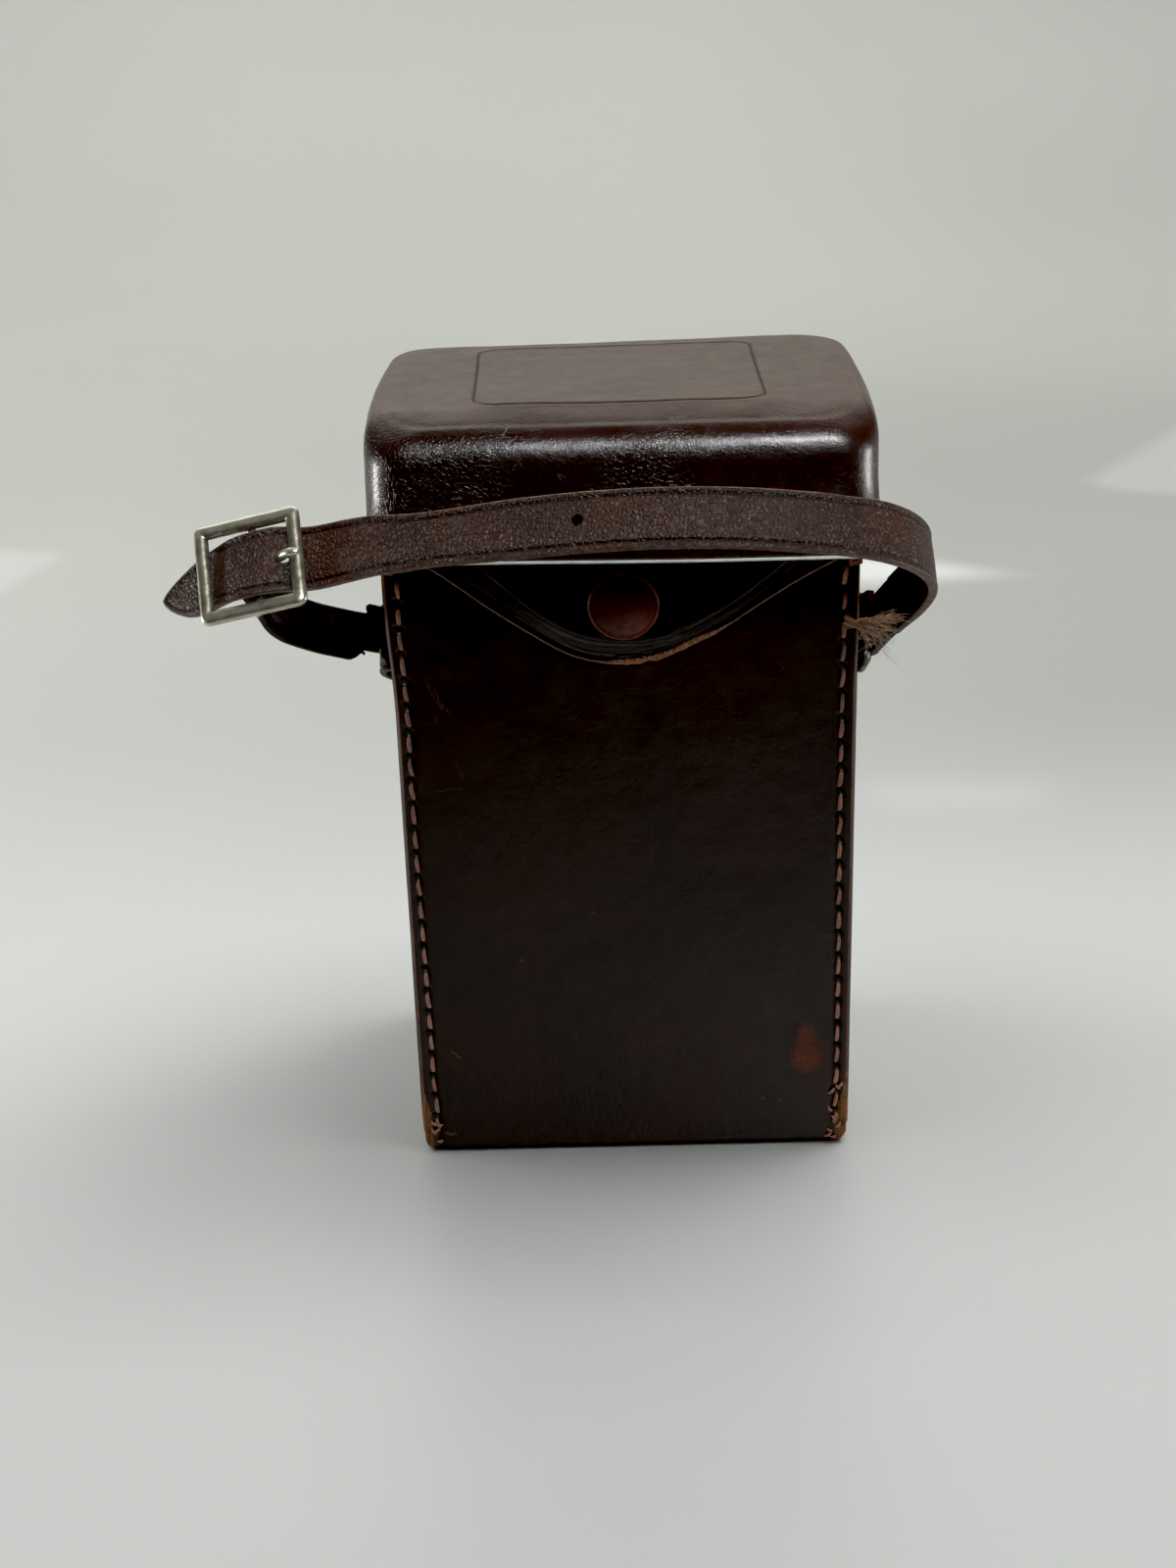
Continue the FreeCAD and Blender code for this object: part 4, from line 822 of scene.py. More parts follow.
def build_gusset(side):
    """Side wall: bulges outward a little, with rounded, rubbed edges."""
    ny, nz = 60, 120
    ys = np.linspace(-33.0, 33.0, ny)
    zs = np.concatenate([np.linspace(2.5, 8, 12), np.linspace(9, 156, nz - 12)])
    Yg, Zg = np.meshgrid(ys, zs, indexing="xy")
    n, m = Yg.shape
    bul = (1 - (np.abs(Yg) / 33.0) ** 6) * smooth(2.5, 9.0, Zg) ** 0.5 * smooth(150, 128, Zg)
    Pn = np.stack([np.full(Yg.shape, side * 50.0), Yg, Zg], -1).reshape(-1, 3)
    nz_ = fbm(Pn / 30.0, 21, 2).reshape(n, m)
    X = (49.8 if side < 0 else 49.5) + (0.95 if side < 0 else 0.4) * np.clip(bul, 0, 1) + 0.2 * nz_ * np.clip(bul, 0, 1)
    edge = np.minimum(33.0 - np.abs(Yg), Zg - 2.5)
    X -= 1.3 * (1 - np.sqrt(np.clip(1 - (1 - np.clip(edge / 1.3, 0, 1)) ** 2, 0, 1)))
    # the rivet's area is pressed flat
    dr = np.hypot(Yg - 4.045, Zg - 108.06)
    X = X * smooth(6.5, 16, dr) + (49.8 if side < 0 else 49.6) * (1 - smooth(6.5, 16, dr))
    outer = np.stack([side * X, Yg, Zg], -1)
    outer[..., 0] += flare(side * X, Yg, Zg)
    inner = outer.copy()
    inner[..., 0] = side * 47.62
    V = np.concatenate([outer.reshape(-1, 3), inner.reshape(-1, 3)])
    F = grid_faces(n, m)
    o = n * m
    F += [(a + o, dd + o, c + o, b + o) for a, b, c, dd in grid_faces(n, m)]
    for i in range(n - 1):
        for j in (0, m - 1):
            a, b = i * m + j, (i + 1) * m + j
            F.append((a, b, b + o, a + o))
    for i in (0, n - 1):
        for j in range(m - 1):
            a, b = i * m + j, i * m + j + 1
            F.append((b, a, a + o, b + o))
    wear = smooth(16, 6, Zg) * smooth(6, 1.5, 33.0 - np.abs(Yg)) * 0.9
    wear = np.maximum(wear, smooth(3.2, 0.6, Zg - 2.5) * 0.75)
    # distance to the edge for the finish, with the inner face set as edge
    E = np.concatenate([np.clip(edge, 0, 9).reshape(-1) * 0.7 + 0.12, np.full(n * m, 0.1)])
    W = np.concatenate([wear.reshape(-1), np.full(n * m, 0.2)])
    H = np.zeros(2 * n * m)
    ob = make("side_wall_" + ("right" if side > 0 else "left"), V, F, [M_BODY], None,
              attrs={"edge": E, "wear": W, "hole": H}, sharp=55)
    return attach(ob, "case")


body = build_body()
wall_r, wall_l = build_gusset(1), build_gusset(-1)
# the imported side gussets get their finish further down, and are hidden


# ------------------------------------------------------------------ threads
def arch(a, b, out, lift, n=9):
    """Points of a stitch from a to b that rises by lift along out and dips in at its ends."""
    a, b, out = (np.array(t, float) for t in (a, b, out))
    P = []
    for k in range(n):
        t = k / (n - 1)
        h = lift * (1 - abs(2 * t - 1) ** 3.2) - 0.55 * (abs(2 * t - 1) ** 7)
        P.append(a + (b - a) * t + out * h)
    return P


rng = np.random.default_rng(11)


def seam_threads(side):
    bag = Bag()
    zs = LEFT_Z if side < 0 else RIGHT_Z
    for face in (-1, 1):
        for i, z in enumerate(zs):
            L = 3.45 + rng.uniform(-0.3, 0.25)
            if i == len(zs) - 1:
                L = 2.4
            slant = rng.uniform(0.02, 0.32) * side * -1 * (1 if face < 0 else -1)
            sx = seam_x(side, z)
            w = 0.47 + rng.uniform(-0.05, 0.05)
            y = face * (HY - 0.12)
            sx += float(flare(sx - 0.5, y, z))
            P = arch((sx - slant, y, z + L / 2), (sx + slant, y, z - L / 2), (0, face, 0), 0.42)
            R = [w * (0.72 + 0.28 * math.sin(math.pi * min(1, max(0, (k + 0.5) / 9)))) for k in range(9)]
            v, f = tube(P, R, 10, flat=((0, 1, 0), 0.72))
            # painted light: stitches below z 60 get a lighter tone; the rest of the tone is random
            bag.add(v, f, 0.35 + 0.4 * rng.random() + (0.15 if z < 60 else 0.0))
            # a loose ply beside some stitches
            if rng.random() < 0.35 and face < 0:
                o = rng.uniform(-0.35, 0.35)
                P2 = arch((sx - slant + o, y, z + L / 2 - 0.6), (sx + slant + o * 0.4, y, z - L / 2 + 0.5), (0, face, 0), 0.62)
                v, f = tube(P2, 0.16, 6)
                bag.add(v, f, 0.75)
        # turns of thread over the top end of the seam
        for k in range(3 if side > 0 else 2):
            zz = 141.5 - k * 0.56 + rng.uniform(-0.08, 0.08)
            x0, x1 = seam_x(side, 140) + side * 0.75, side * 49.35
            yy = face * (HY + 0.05)
            fl = float(flare(-48.0, face * 33.0, zz)) if side < 0 else 0.0
            P = [(x0, face * (HY - 0.5), zz - 0.35), (x0 + side * 0.3, yy, zz - 0.2), (x0 + side * 1.0, face * (HY + 0.16), zz - 0.1 * (k % 2)),
                 (x1 - side * 0.5, face * (HY + 0.2), zz + 0.1), (x1 + side * 0.12, yy - face * 0.3, zz + 0.1), (x1 + side * 0.35, face * (HY - 1.6), zz),
                 (x1 + side * 0.25, face * (HY - 2.6), zz - 0.1)]
            P = [(a + fl, b, c) for a, b, c in P]
            v, f = tube(P, 0.28, 9)
            bag.add(v, f, 0.15 + 0.7 * rng.random())
    # underside: sunk in its channel
    y = -28.6
    while y + 4.2 < 30:
        sx = side * 46.3
        P = arch((sx, y, 0.62), (sx, y + 4.2, 0.62), (0, 0, -1), 0.12)
        v, f = tube(P, 0.42, 8)
        bag.add(v, f, 0.3)
        y += 5.6
    # messy ends at the front corners
    face = -1
    cx = seam_x(side, 5)
    for k in range(5 if side < 0 else 9):
        z0 = rng.uniform(1.6, 10.0 if side < 0 else 15.5)
        x0 = cx + rng.uniform(-0.9, 0.9)
        ang = rng.uniform(-1.1, 1.1) + (math.pi if rng.random() < 0.5 else 0)
        L = rng.uniform(0.9, 2.0)
        P = [(x0, -HY + 0.1, z0), (x0 + math.cos(ang) * L * 0.35, -HY - 0.42, z0 + math.sin(ang) * L * 0.35),
             (x0 + math.cos(ang) * L * 0.75, -HY - 0.4, z0 + math.sin(ang) * L * 0.6), (x0 + math.cos(ang) * L, -HY - 0.05, z0 + math.sin(ang) * L)]
        v, f = tube(P, [0.3, 0.36, 0.3, 0.12], 7)
        bag.add(v, f, 0.6 + 0.3 * rng.random())
    ob = make("seam_stitches_" + ("right" if side > 0 else "left"), bag.v, bag.f, [M_THREAD], None, attrs={"tone": bag.tone}, sharp=80)
    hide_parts("seam_thread_" + ("right" if side > 0 else "left"))
    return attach(ob, "case")


seam_threads(-1)
seam_threads(1)


def row_threads(name, replaced, bodyname, y, zs, x0, x1, length, pitch, slant, face, shift=None):
    bag = Bag()
    for z in zs:
        nn = int((x1 - x0 - length) / pitch) + 1
        start = (x0 + x1) / 2 - ((nn - 1) * pitch + length) / 2
        for i in range(nn):
            a = start + i * pitch
            P = arch((a, y, z + slant), (a + length, y, z - slant), (0, face, 0), 0.34)
            R = [0.38] * 9
            v, f = tube(P, R, 9, flat=((0, 1, 0), 0.75))
            bag.add(v, f, 0.3 + 0.4 * rng.random())
    ob = make(name, bag.v, bag.f, [M_THREAD], None, attrs={"tone": bag.tone}, sharp=80)
    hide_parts(replaced)
    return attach(ob, bodyname)


row_threads("hinge_stitches_lower", "hinge_stitching_lower", "case", 37.3, (131.0, 147.0), -37, 37, 3.6, 5.4, 0.1, 1)

# ------------------------------------------------------------------ lid
LHX, LHY, RIM_Z, LTOP, TL = 53.5, 41.1, 143.8, 174.3, 2.6
LEAN, ZC = 0.5, 165.3


def rrect(hx, hy, r, z, nx=72, ny=54, nc=14):
    """Closed ring of a rounded rectangle, anticlockwise seen from above, from the front right corner."""
    r = max(min(r, hx - 0.01, hy - 0.01), 0.01)
    pts = []
    cor = [(hx - r, -hy + r, -90), (hx - r, hy - r, 0), (-hx + r, hy - r, 90), (-hx + r, -hy + r, 180)]
    for q, (cx, cy, a0) in enumerate(cor):
        for k in range(nc + 1):
            t = math.radians(a0 + 90.0 * k / nc)
            pts.append((cx + r * math.cos(t), cy + r * math.sin(t), z))
        cx2, cy2, a2 = cor[(q + 1) % 4]
        t = math.radians(a2)
        ex, ey = cx2 + r * math.cos(t), cy2 + r * math.sin(t)
        sx, sy = pts[-1][:2]
        cnt = ny if q % 2 == 0 else nx
        for k in range(1, cnt):
            s = k / cnt
            pts.append((sx + (ex - sx) * s, sy + (ey - sy) * s, z))
    return pts


def lid_dims(z):
    """Half sizes and corner radius of the lid's outside at a height on its walls."""
    k = LEAN * (z - RIM_Z) / (ZC - RIM_Z)
    r = 5.0 + 4.2 * float(smooth(RIM_Z, RIM_Z + 16.0, z))
    return LHX - k, LHY - k, r


def lid_rings(off):
    """Rings from the rim to the top centre, set in by off."""
    rings = []
    zs = [RIM_Z, RIM_Z + 0.12, RIM_Z + 0.35] + list(np.linspace(RIM_Z + 0.8, ZC, 22)) if off == 0 else list(np.linspace(RIM_Z, ZC, 12))
    for i, z in enumerate(zs):
        hx, hy, r = lid_dims(z)
        ins = off
        if off == 0 and i < 3:
            ins = (0.4, 0.14, 0.0)[i]
        rings.append(rrect(hx - ins, hy - ins, r - ins, z))
    hx, hy, r = lid_dims(ZC)
    rx, ry, rt_ = 7.0 - off, 8.5 - off, 9.0 - off
    for a in np.linspace(0, 90, 19 if off == 0 else 9)[1:]:
        t = math.radians(a)
        c, q = max(math.cos(t), 0.0) ** 0.78, math.sin(t) ** 0.78
        rings.append(rrect(hx - off - rx * (1 - c), hy - off - ry * (1 - c), r - off + 1.8 * (1 - c), ZC + rt_ * q))
    return rings


def rim_lift(x):
    """The rim has risen a little towards the left."""
    return 0.9 * smooth(25, -50, x)


def settle(P):
    """Height change of the worn crown: it has dropped along the front and lifted at the back right."""
    up_ = smooth(150, 166, P[..., 2])
    return up_ * (-2.2 * smooth(27.0, 37.5, -P[..., 1]) + 0.65 * smooth(-30, 50, P[..., 0]) * smooth(0, 33, P[..., 1]))


def bow(P):
    """Sideways bulge of the lid's upper walls and shoulders, most half way back."""
    f = np.clip(1 - ((P[..., 1] - 4.0) / 38.0) ** 2, 0, 1) * smooth(157.0, 169.0, P[..., 2])
    return 1.3 * f * np.sign(P[..., 0]) * smooth(30.0, 50.0, np.abs(P[..., 0]))


def build_lid():
    out = lid_rings(0)
    # top: run in to the embossed rectangle, across its groove and on to the middle
    hx, hy, r = 53.0 - 7.0, 40.6 - 8.5, 9.2 + 1.8
    gx, gy, gr = 30.3, 28.2, 5.0
    tops = []
    for t in np.linspace(0, 1, 15)[1:]:
        e = 0.9
        tops.append((hx + (gx + e - hx) * t, hy + (gy + e - hy) * t, r + (gr + e - r) * t))
    for e in np.arange(0.75, -0.91, -0.15):
        tops.append((gx + e, gy + e, gr + e))
    for t in np.linspace(0, 1, 22)[1:]:
        s = 1 - t * 0.985
        tops.append(((gx - 0.9) * s, (gy - 0.9) * s, max((gr - 0.9) * s, 0.05)))
    for a, b, c in tops:
        out.append(rrect(a, b, c, LTOP))
    O = np.array(out)
    N = grid_normals(O, wrap_m=True)
    # outward
    cen = np.array([0, 0, 155.0])
    flip = np.sum(N * (O - cen), -1) < 0
    N[flip] *= -1
    n, m, _ = O.shape
    flatP = O.reshape(-1, 3)
    wav = 0.34 * fbm(flatP / 24.0, 5, 2) + 0.10 * fbm(flatP / 7.0, 9, 2)
    fade = smooth(RIM_Z, RIM_Z + 5, flatP[:, 2])
    # the box is softest along its top edges
    dsp = wav * (0.25 + 0.75 * fade)
    # groove of the embossed rectangle, with a soft lip on either side
    ax, ay = np.abs(flatP[:, 0]), np.abs(flatP[:, 1])
    qx, qy = np.maximum(ax - (gx - gr), 0), np.maximum(ay - (gy - gr), 0)
    dist = np.where((qx > 0) & (qy > 0), np.hypot(qx, qy) - gr, np.maximum(ax - gx, ay - gy))
    ontop = flatP[:, 2] > LTOP - 0.6
    gro = np.exp(-(dist / 0.3) ** 2) * ontop
    dsp -= gro * 0.36
    dsp += ontop * (0.10 * np.exp(-((np.abs(dist) - 1.0) / 0.6) ** 2))
    # shallow sag of the crown outside the rectangle
    dsp += ontop * (-0.25 * smooth(0.5, 9, dist))
    O = (flatP + N.reshape(-1, 3) * dsp[:, None]).reshape(n, m, 3)
    O[..., 2] = np.maximum(O[..., 2], RIM_Z)
    O[..., 2] += rim_lift(O[..., 0]) * smooth(152, RIM_Z, O[..., 2])
    # the left groove of the rectangle stands a little squarer
    O[..., 0] -= 1.3 * (O[..., 1] + 28.2) / 56.4 * smooth(-8, -24, O[..., 0]) * smooth(-45, -34, O[..., 0]) * ontop.reshape(n, m)
    O[..., 2] += settle(O)
    O[..., 0] += bow(O)
    inn = np.array(lid_rings(TL))
    inn[..., 2] += rim_lift(inn[..., 0]) * smooth(152, RIM_Z, inn[..., 2])
    inn[..., 2] += settle(inn)
    inn[..., 0] += bow(inn)
    it = []
    hx, hy, r = inn[-1][:, 0].max(), inn[-1][:, 1].max(), 6.0
    for t in np.linspace(0, 1, 7)[1:]:
        s = 1 - t * 0.985
        it.append(rrect(hx * s, hy * s, r * s, LTOP - TL))
    inn = np.concatenate([inn, np.array(it)])
    A = inn[::-1]
    G = np.concatenate([A, O])
    n2 = len(G)
    V = G.reshape(-1, 3)
    F = grid_faces(n2, m, wrap_m=True)
    V = np.concatenate([V, [G[0].mean(0)], [G[-1].mean(0)]])
    c0, c1 = len(V) - 2, len(V) - 1
    for j in range(m):
        k = (j + 1) % m
        F.append((j, k, c0))
        F.append(((n2 - 1) * m + k, (n2 - 1) * m + j, c1))
    gat = np.concatenate([np.zeros(A.shape[0] * m), gro, [0, 0]])
    eat = np.concatenate([np.full(A.shape[0] * m, 0.3), np.clip(O[..., 2].reshape(-1) - RIM_Z, 0, 9), [9, 9]])
    fm = np.zeros(len(F), int)
    fm[: (A.shape[0] - 1) * m] = 1
    ob = make("lid_moulded", V, F, [M_LID, M_LINING], None, fmat=fm, attrs={"groove": gat, "edge": eat}, sharp=50)
    boolean_cut(ob, *box_solid((-60, 33.0, 138), (60, 60, 156.6)), keep_smooth=50)
    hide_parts("lid_shell")
    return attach(ob, "lid")


lid = build_lid()


def build_rim():
    """Polished bevel along the skirt's lower edge, front and sides."""
    hx, hy, r = lid_dims(RIM_Z)
    rows = []
    for ins, dz in ((0.06, 0.16), (0.12, -0.04), (0.40, -0.60), (0.55, -0.70), (1.1, -0.62), (1.1, 0.16)):
        P = np.array(rrect(hx - ins, hy - ins, r - ins, RIM_Z + dz))
        start = int(np.argmin(np.hypot(P[:, 0] + hx, P[:, 1] - 33.0)))
        P = np.roll(P, -start, axis=0)
        keep = []
        for p in P:
            if p[1] <= 33.0:
                keep.append(p)
            elif keep:
                break
        rows.append(keep)
    k = min(len(q) for q in rows)
    G = np.array([q[:k] for q in rows])
    G[..., 2] += rim_lift(G[..., 0])
    n, m, _ = G.shape
    F = grid_faces(n, m, wrap_n=True)
    F.append(tuple(i * m for i in range(n)))
    F.append(tuple(i * m + m - 1 for i in range(n - 1, -1, -1)))
    ob = make("lid_rim_bead", G.reshape(-1, 3), F, [M_RIM], None, sharp=30)
    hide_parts("lid_edge_strip")
    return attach(ob, "lid")


build_rim()
row_threads("hinge_stitches_upper", "hinge_stitching_upper", "lid", LHY - 0.35, (160.6,), -38, 38, 3.6, 5.4, 0.1, 1)
row_threads("tongue_stitches", "tongue_stitching", "lid", -LHY + 0.1, (148.4,), -39, 39, 3.6, 5.4, 0.1, -1)


# ------------------------------------------------------------------ hinge leather
def build_hinge():
    path = [(36.4, 128.0), (36.4, 150.5), (36.45, 152.5), (36.6, 153.6), (36.8, 154.6), (36.98, 155.6), (37.08, 156.6), (37.1, 158.5), (37.1, 165.2)]
    P = []
    for a, b in zip(path[:-1], path[1:]):
        k = max(2, int(math.dist(a, b) / 0.5))
        for i in range(k):
            P.append((a[0] + (b[0] - a[0]) * i / k, a[1] + (b[1] - a[1]) * i / k))
    P.append(path[-1])
    P = np.array(P)
    T = np.gradient(P, axis=0)
    T /= np.linalg.norm(T, axis=1)[:, None]
    Nn = np.stack([T[:, 1], -T[:, 0]], 1)
    half = np.full(len(P), 42.0)
    dz = P[:, 1] - 128.0
    half -= np.where(dz < 5, 5 - np.sqrt(np.maximum(25 - (5 - np.minimum(dz, 5)) ** 2, 0)), 0)
    cols = 40
    h = 0.9
    prof = []
    for s in np.linspace(-1, 1, cols):
        prof.append((s, h))
    for s in np.linspace(1, -1, cols):
        prof.append((s, -h))
    V = []
    for i in range(len(P)):
        for s, t in prof:
            rnd = 0.35 * max(0, (abs(s) * half[i] - (half[i] - 0.6)) / 0.6) ** 2
            tt = t - math.copysign(rnd, t)
            V.append((s * half[i], P[i, 0] + Nn[i, 0] * tt, P[i, 1] + Nn[i, 1] * tt))
    m = len(prof)
    F = grid_faces(len(P), m, wrap_m=True)
    F.append(tuple(range(m - 1, -1, -1)))
    F.append(tuple((len(P) - 1) * m + k for k in range(m)))
    V = np.array(V)
    E = np.minimum(42.0 - np.abs(V[:, 0]), V[:, 2] - 128.0)
    ob = make("hinge_leather", V, F, [M_LID], None, attrs={"groove": np.zeros(len(V)), "edge": np.clip(E, 0, 9)}, sharp=50)
    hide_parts("hinge_strip_lower", "hinge_strip_upper")
    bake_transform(ob)
    return ob


build_hinge()

# ------------------------------------------------------------------ tongue
TE = [(-44.0, 0.2), (-40.3, 1.5), (-34.6, 5.6), (-28.8, 10.1), (-20.4, 15.9), (-12.1, 20.9), (-4.9, 22.9), (0.8, 23.2), (7.9, 22.0), (12.3, 20.1),
      (19.5, 16.6), (29.3, 10.2), (36.4, 5.8), (41.5, 3.0), (44.0, 1.8)]
CR = [(-38.0, -6.0), (-31.2, 0.6), (-20.2, 10.7), (-13.4, 15.4), (-6.2, 17.9), (0.9, 18.6), (6.5, 18.1), (11.7, 16.6), (22.4, 10.8), (33.5, 2.2), (40.0, -4.0)]


def crom(pts, step):
    """Smooth curve through the points, evenly sampled."""
    p = np.array(pts, float)
    p = np.vstack([2 * p[0] - p[1], p, 2 * p[-1] - p[-2]])
    out = []
    for i in range(1, len(p) - 2):
        for t in np.linspace(0, 1, 24, endpoint=False):
            a, b, c, d = p[i - 1:i + 3]
            out.append(0.5 * (2 * b + (c - a) * t + (2 * a - 5 * b + 4 * c - d) * t * t + (3 * b - 3 * c + d - a) * t ** 3))
    out.append(p[-2])
    out = np.array(out)
    s = np.r_[0, np.cumsum(np.linalg.norm(np.diff(out, axis=0), axis=1))]
    q = np.arange(0, s[-1], step)
    return np.stack([np.interp(q, s, out[:, k]) for k in range(out.shape[1])], 1)


def build_tongue():
    edge = crom(TE, 0.35)
    crease = crom(CR, 0.3)
    xs = np.interp(np.linspace(0, 1, 260), np.linspace(0, 1, len(edge)), edge[:, 0])
    de = np.interp(xs, edge[:, 0], edge[:, 1])
    vs = np.concatenate([np.linspace(0, 0.55, 14, endpoint=False), np.linspace(0.55, 1, 46)])
    top = 150.6
    n, m = len(vs), len(xs)
    zlow = RIM_Z - de
    Zg = top + (zlow[None, :] - top) * vs[:, None]
    Xg = np.repeat(xs[None, :], n, 0)
    # true distance to the lower edge
    pts = np.stack([Xg.reshape(-1), RIM_Z - Zg.reshape(-1)], 1)
    dmin = np.full(len(pts), 99.0)
    for k in range(0, len(edge), 1):
        dmin = np.minimum(dmin, np.hypot(pts[:, 0] - edge[k, 0], pts[:, 1] - edge[k, 1]))
    cmin = np.full(len(pts), 99.0)
    for k in range(0, len(crease), 1):
        cmin = np.minimum(cmin, np.hypot(pts[:, 0] - crease[k, 0], pts[:, 1] - crease[k, 1]))
    E = dmin.reshape(n, m)
    C = cmin.reshape(n, m)
    P = np.stack([Xg, np.zeros_like(Xg), Zg], -1).reshape(-1, 3)
    # front face: crease groove, a rounded ridge below it, then a thin, slightly lifted edge
    y0 = -38.5
    rel = -0.13 * np.exp(-(C / 0.34) ** 2) + 0.10 * np.exp(-((C - 0.8) / 0.5) ** 2)
    rel += -0.16 * np.exp(-((E - 2.4) / 0.5) ** 2) * smooth(12, -14, Xg)
    rel -= 0.55 * (1 - smooth(0, 0.55, E)) ** 2
    rel += 0.10 * fbm(P / 9.0, 31, 2).reshape(n, m)
    rel += 0.05 * fbm(P / 1.3, 33, 2).reshape(n, m) * smooth(3.0, 0.5, E)
    # the flap hugs the snap in the middle and stands off a little at its wings
    rel *= smooth(RIM_Z + 2.5, RIM_Z - 0.5, Zg)
    cap = smooth(8.6, 7.4, np.hypot(Xg + 0.3, Zg - 133.6))
    rel -= cap * 0.12
    front = np.stack([Xg, y0 - rel, Zg], -1)
    # ragged edge at the bottom centre and right
    rag = smooth(1.2, 0.0, E) * smooth(-6, 1, Xg) * smooth(25, 15, Xg)
    Pz = np.stack([Xg, np.zeros_like(Xg), np.zeros_like(Xg)], -1).reshape(-1, 3)
    jit = fbm(Pz / 0.9, 41, 3).reshape(n, m)
    front[..., 2] -= rag * (0.35 * jit + 0.1)
    front[..., 1] -= rag * 0.25 * np.abs(jit)
    back = np.stack([Xg, np.full_like(Xg, -36.75), Zg], -1)
    back[..., 2] -= rag * 0.3 * jit
    V = np.concatenate([front.reshape(-1, 3), back.reshape(-1, 3)])
    F = grid_faces(n, m)
    o = n * m
    fm = [0] * len(F)
    F += [(a + o, dd + o, c + o, b + o) for a, b, c, dd in grid_faces(n, m)]
    fm += [1] * (len(F) - len(fm))
    for j in range(m - 1):
        a, b = (n - 1) * m + j, (n - 1) * m + j + 1
        F.append((b, a, a + o, b + o))
        fm.append(0)
        a, b = j, j + 1
        F.append((a, b, b + o, a + o))
        fm.append(1)
    for i in range(n - 1):
        for j in (0, m - 1):
            a, b = i * m + j, (i + 1) * m + j
            F.append((a, b, b + o, a + o))
            fm.append(0)
    EE = np.concatenate([E.reshape(-1), E.reshape(-1) * 0])
    GG = np.concatenate([np.exp(-(C.reshape(-1) / 0.5) ** 2), np.zeros(n * m)])
    ob = make("tongue_flap", V, F, [M_TONGUE, M_FLESH], None, fmat=fm, attrs={"edge": EE, "groove": GG}, sharp=60)
    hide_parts("closing_tongue", "tongue_root")
    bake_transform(ob)
    return ob


build_tongue()


def lathe(c, axis, prof, seg=64):
    """Revolves (radius, height) points about axis through c."""
    c, ax = np.array(c, float), np.array(axis, float)
    ref = np.array([0, 0, 1.0]) if abs(ax[2]) < 0.9 else np.array([1.0, 0, 0])
    a = np.cross(ax, ref)
    a /= np.linalg.norm(a)
    b = np.cross(ax, a)
    V = []
    for r, h in prof:
        for k in range(seg):
            t = 2 * math.pi * k / seg
            V.append(c + ax * h + (a * math.cos(t) + b * math.sin(t)) * r)
    F = grid_faces(len(prof), seg, wrap_m=True)
    F.append(tuple(range(seg - 1, -1, -1)))
    F.append(tuple((len(prof) - 1) * seg + k for k in range(seg)))
    return V, F


def build_cap():
    prof = [(6.6, -0.3), (7.3, -0.3), (7.5, -0.05), (7.52, 0.25), (7.4, 0.52), (7.15, 0.68), (6.9, 0.70), (6.65, 0.66)]
    for k in range(1, 15):
        r = 6.65 * (1 - k / 14.6)
        prof.append((r, 0.66 + 1.05 * (1 - (r / 6.65) ** 2)))
    v, f = lathe((-0.3, -38.5, 133.6), (0, -1, 0), prof, 72)
    P = np.array(v)
    rr = np.hypot(P[:, 0] + 0.3, P[:, 2] - 133.6)
    P[:, 1] -= 0.05 * fbm(P / 3.0, 51, 2) * smooth(7.0, 5.0, rr)
    # mask of the painted highlight along the rim
    at = np.exp(-((rr - 7.3) / 0.2) ** 2)
    ob = make("snap_dome", P, f, [M_CAP], None, attrs={"rim_painted_highlight": at}, sharp=60)
    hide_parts("snap_cap")
    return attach(ob, "tongue")


build_cap()

# ------------------------------------------------------------------ strap loop
C36, S36 = math.cos(math.radians(36)), math.sin(math.radians(36))
EX, EU, EW = np.array([1.0, 0, 0]), np.array([0, -C36, S36]), np.array([0, S36, C36])
ORG = np.array([0, 0, 111.0])


def loop_pt(x, u, w=0.0):
    return ORG + EX * x + EU * u + EW * w


def arcs(pts, step=0.5):
    """Straight runs joined by large tangent arcs, sampled."""
    p = [np.array(q, float) for q in pts]
    out = [p[0]]
    prev = p[0]

    def line(a, b):
        k = max(1, int(np.linalg.norm(b - a) / step))
        return [a + (b - a) * i / k for i in range(1, k + 1)]

    for i in range(1, len(p) - 1):
        d0 = p[i] - p[i - 1]
        l0 = np.linalg.norm(d0)
        d0 = d0 / l0
        d1 = p[i + 1] - p[i]
        l1 = np.linalg.norm(d1)
        d1 = d1 / l1
        turn = math.atan2(d0[0] * d1[1] - d0[1] * d1[0], d0 @ d1)
        if abs(turn) < 1e-4:
            continue
        r = 0.48 * min(l0, l1) / math.tan(abs(turn) / 2)
        t = r * math.tan(abs(turn) / 2)
        a, b = p[i] - d0 * t, p[i] + d1 * t
        c = a + np.array([-d0[1], d0[0]]) * (1 if turn > 0 else -1) * r
        out += line(prev, a)
        a0 = math.atan2(a[1] - c[1], a[0] - c[0])
        k = max(2, int(abs(turn) * r / step))
        for q in range(1, k + 1):
            th = a0 + turn * q / k
            out.append(c + r * np.array([math.cos(th), math.sin(th)]))
        prev = b
    out += line(prev, p[-1])
    q = [out[0]]
    for o in out[1:]:
        if np.linalg.norm(o - q[-1]) > 1e-6:
            q.append(o)
    return np.array(q)


def arc_pts(c, r, a0, a1, step=0.35):
    k = max(3, int(abs(math.radians(a1 - a0)) * r / step))
    return [(c[0] + r * math.cos(math.radians(a0 + (a1 - a0) * i / k)), c[1] + r * math.sin(math.radians(a0 + (a1 - a0) * i / k))) for i in range(k + 1)]


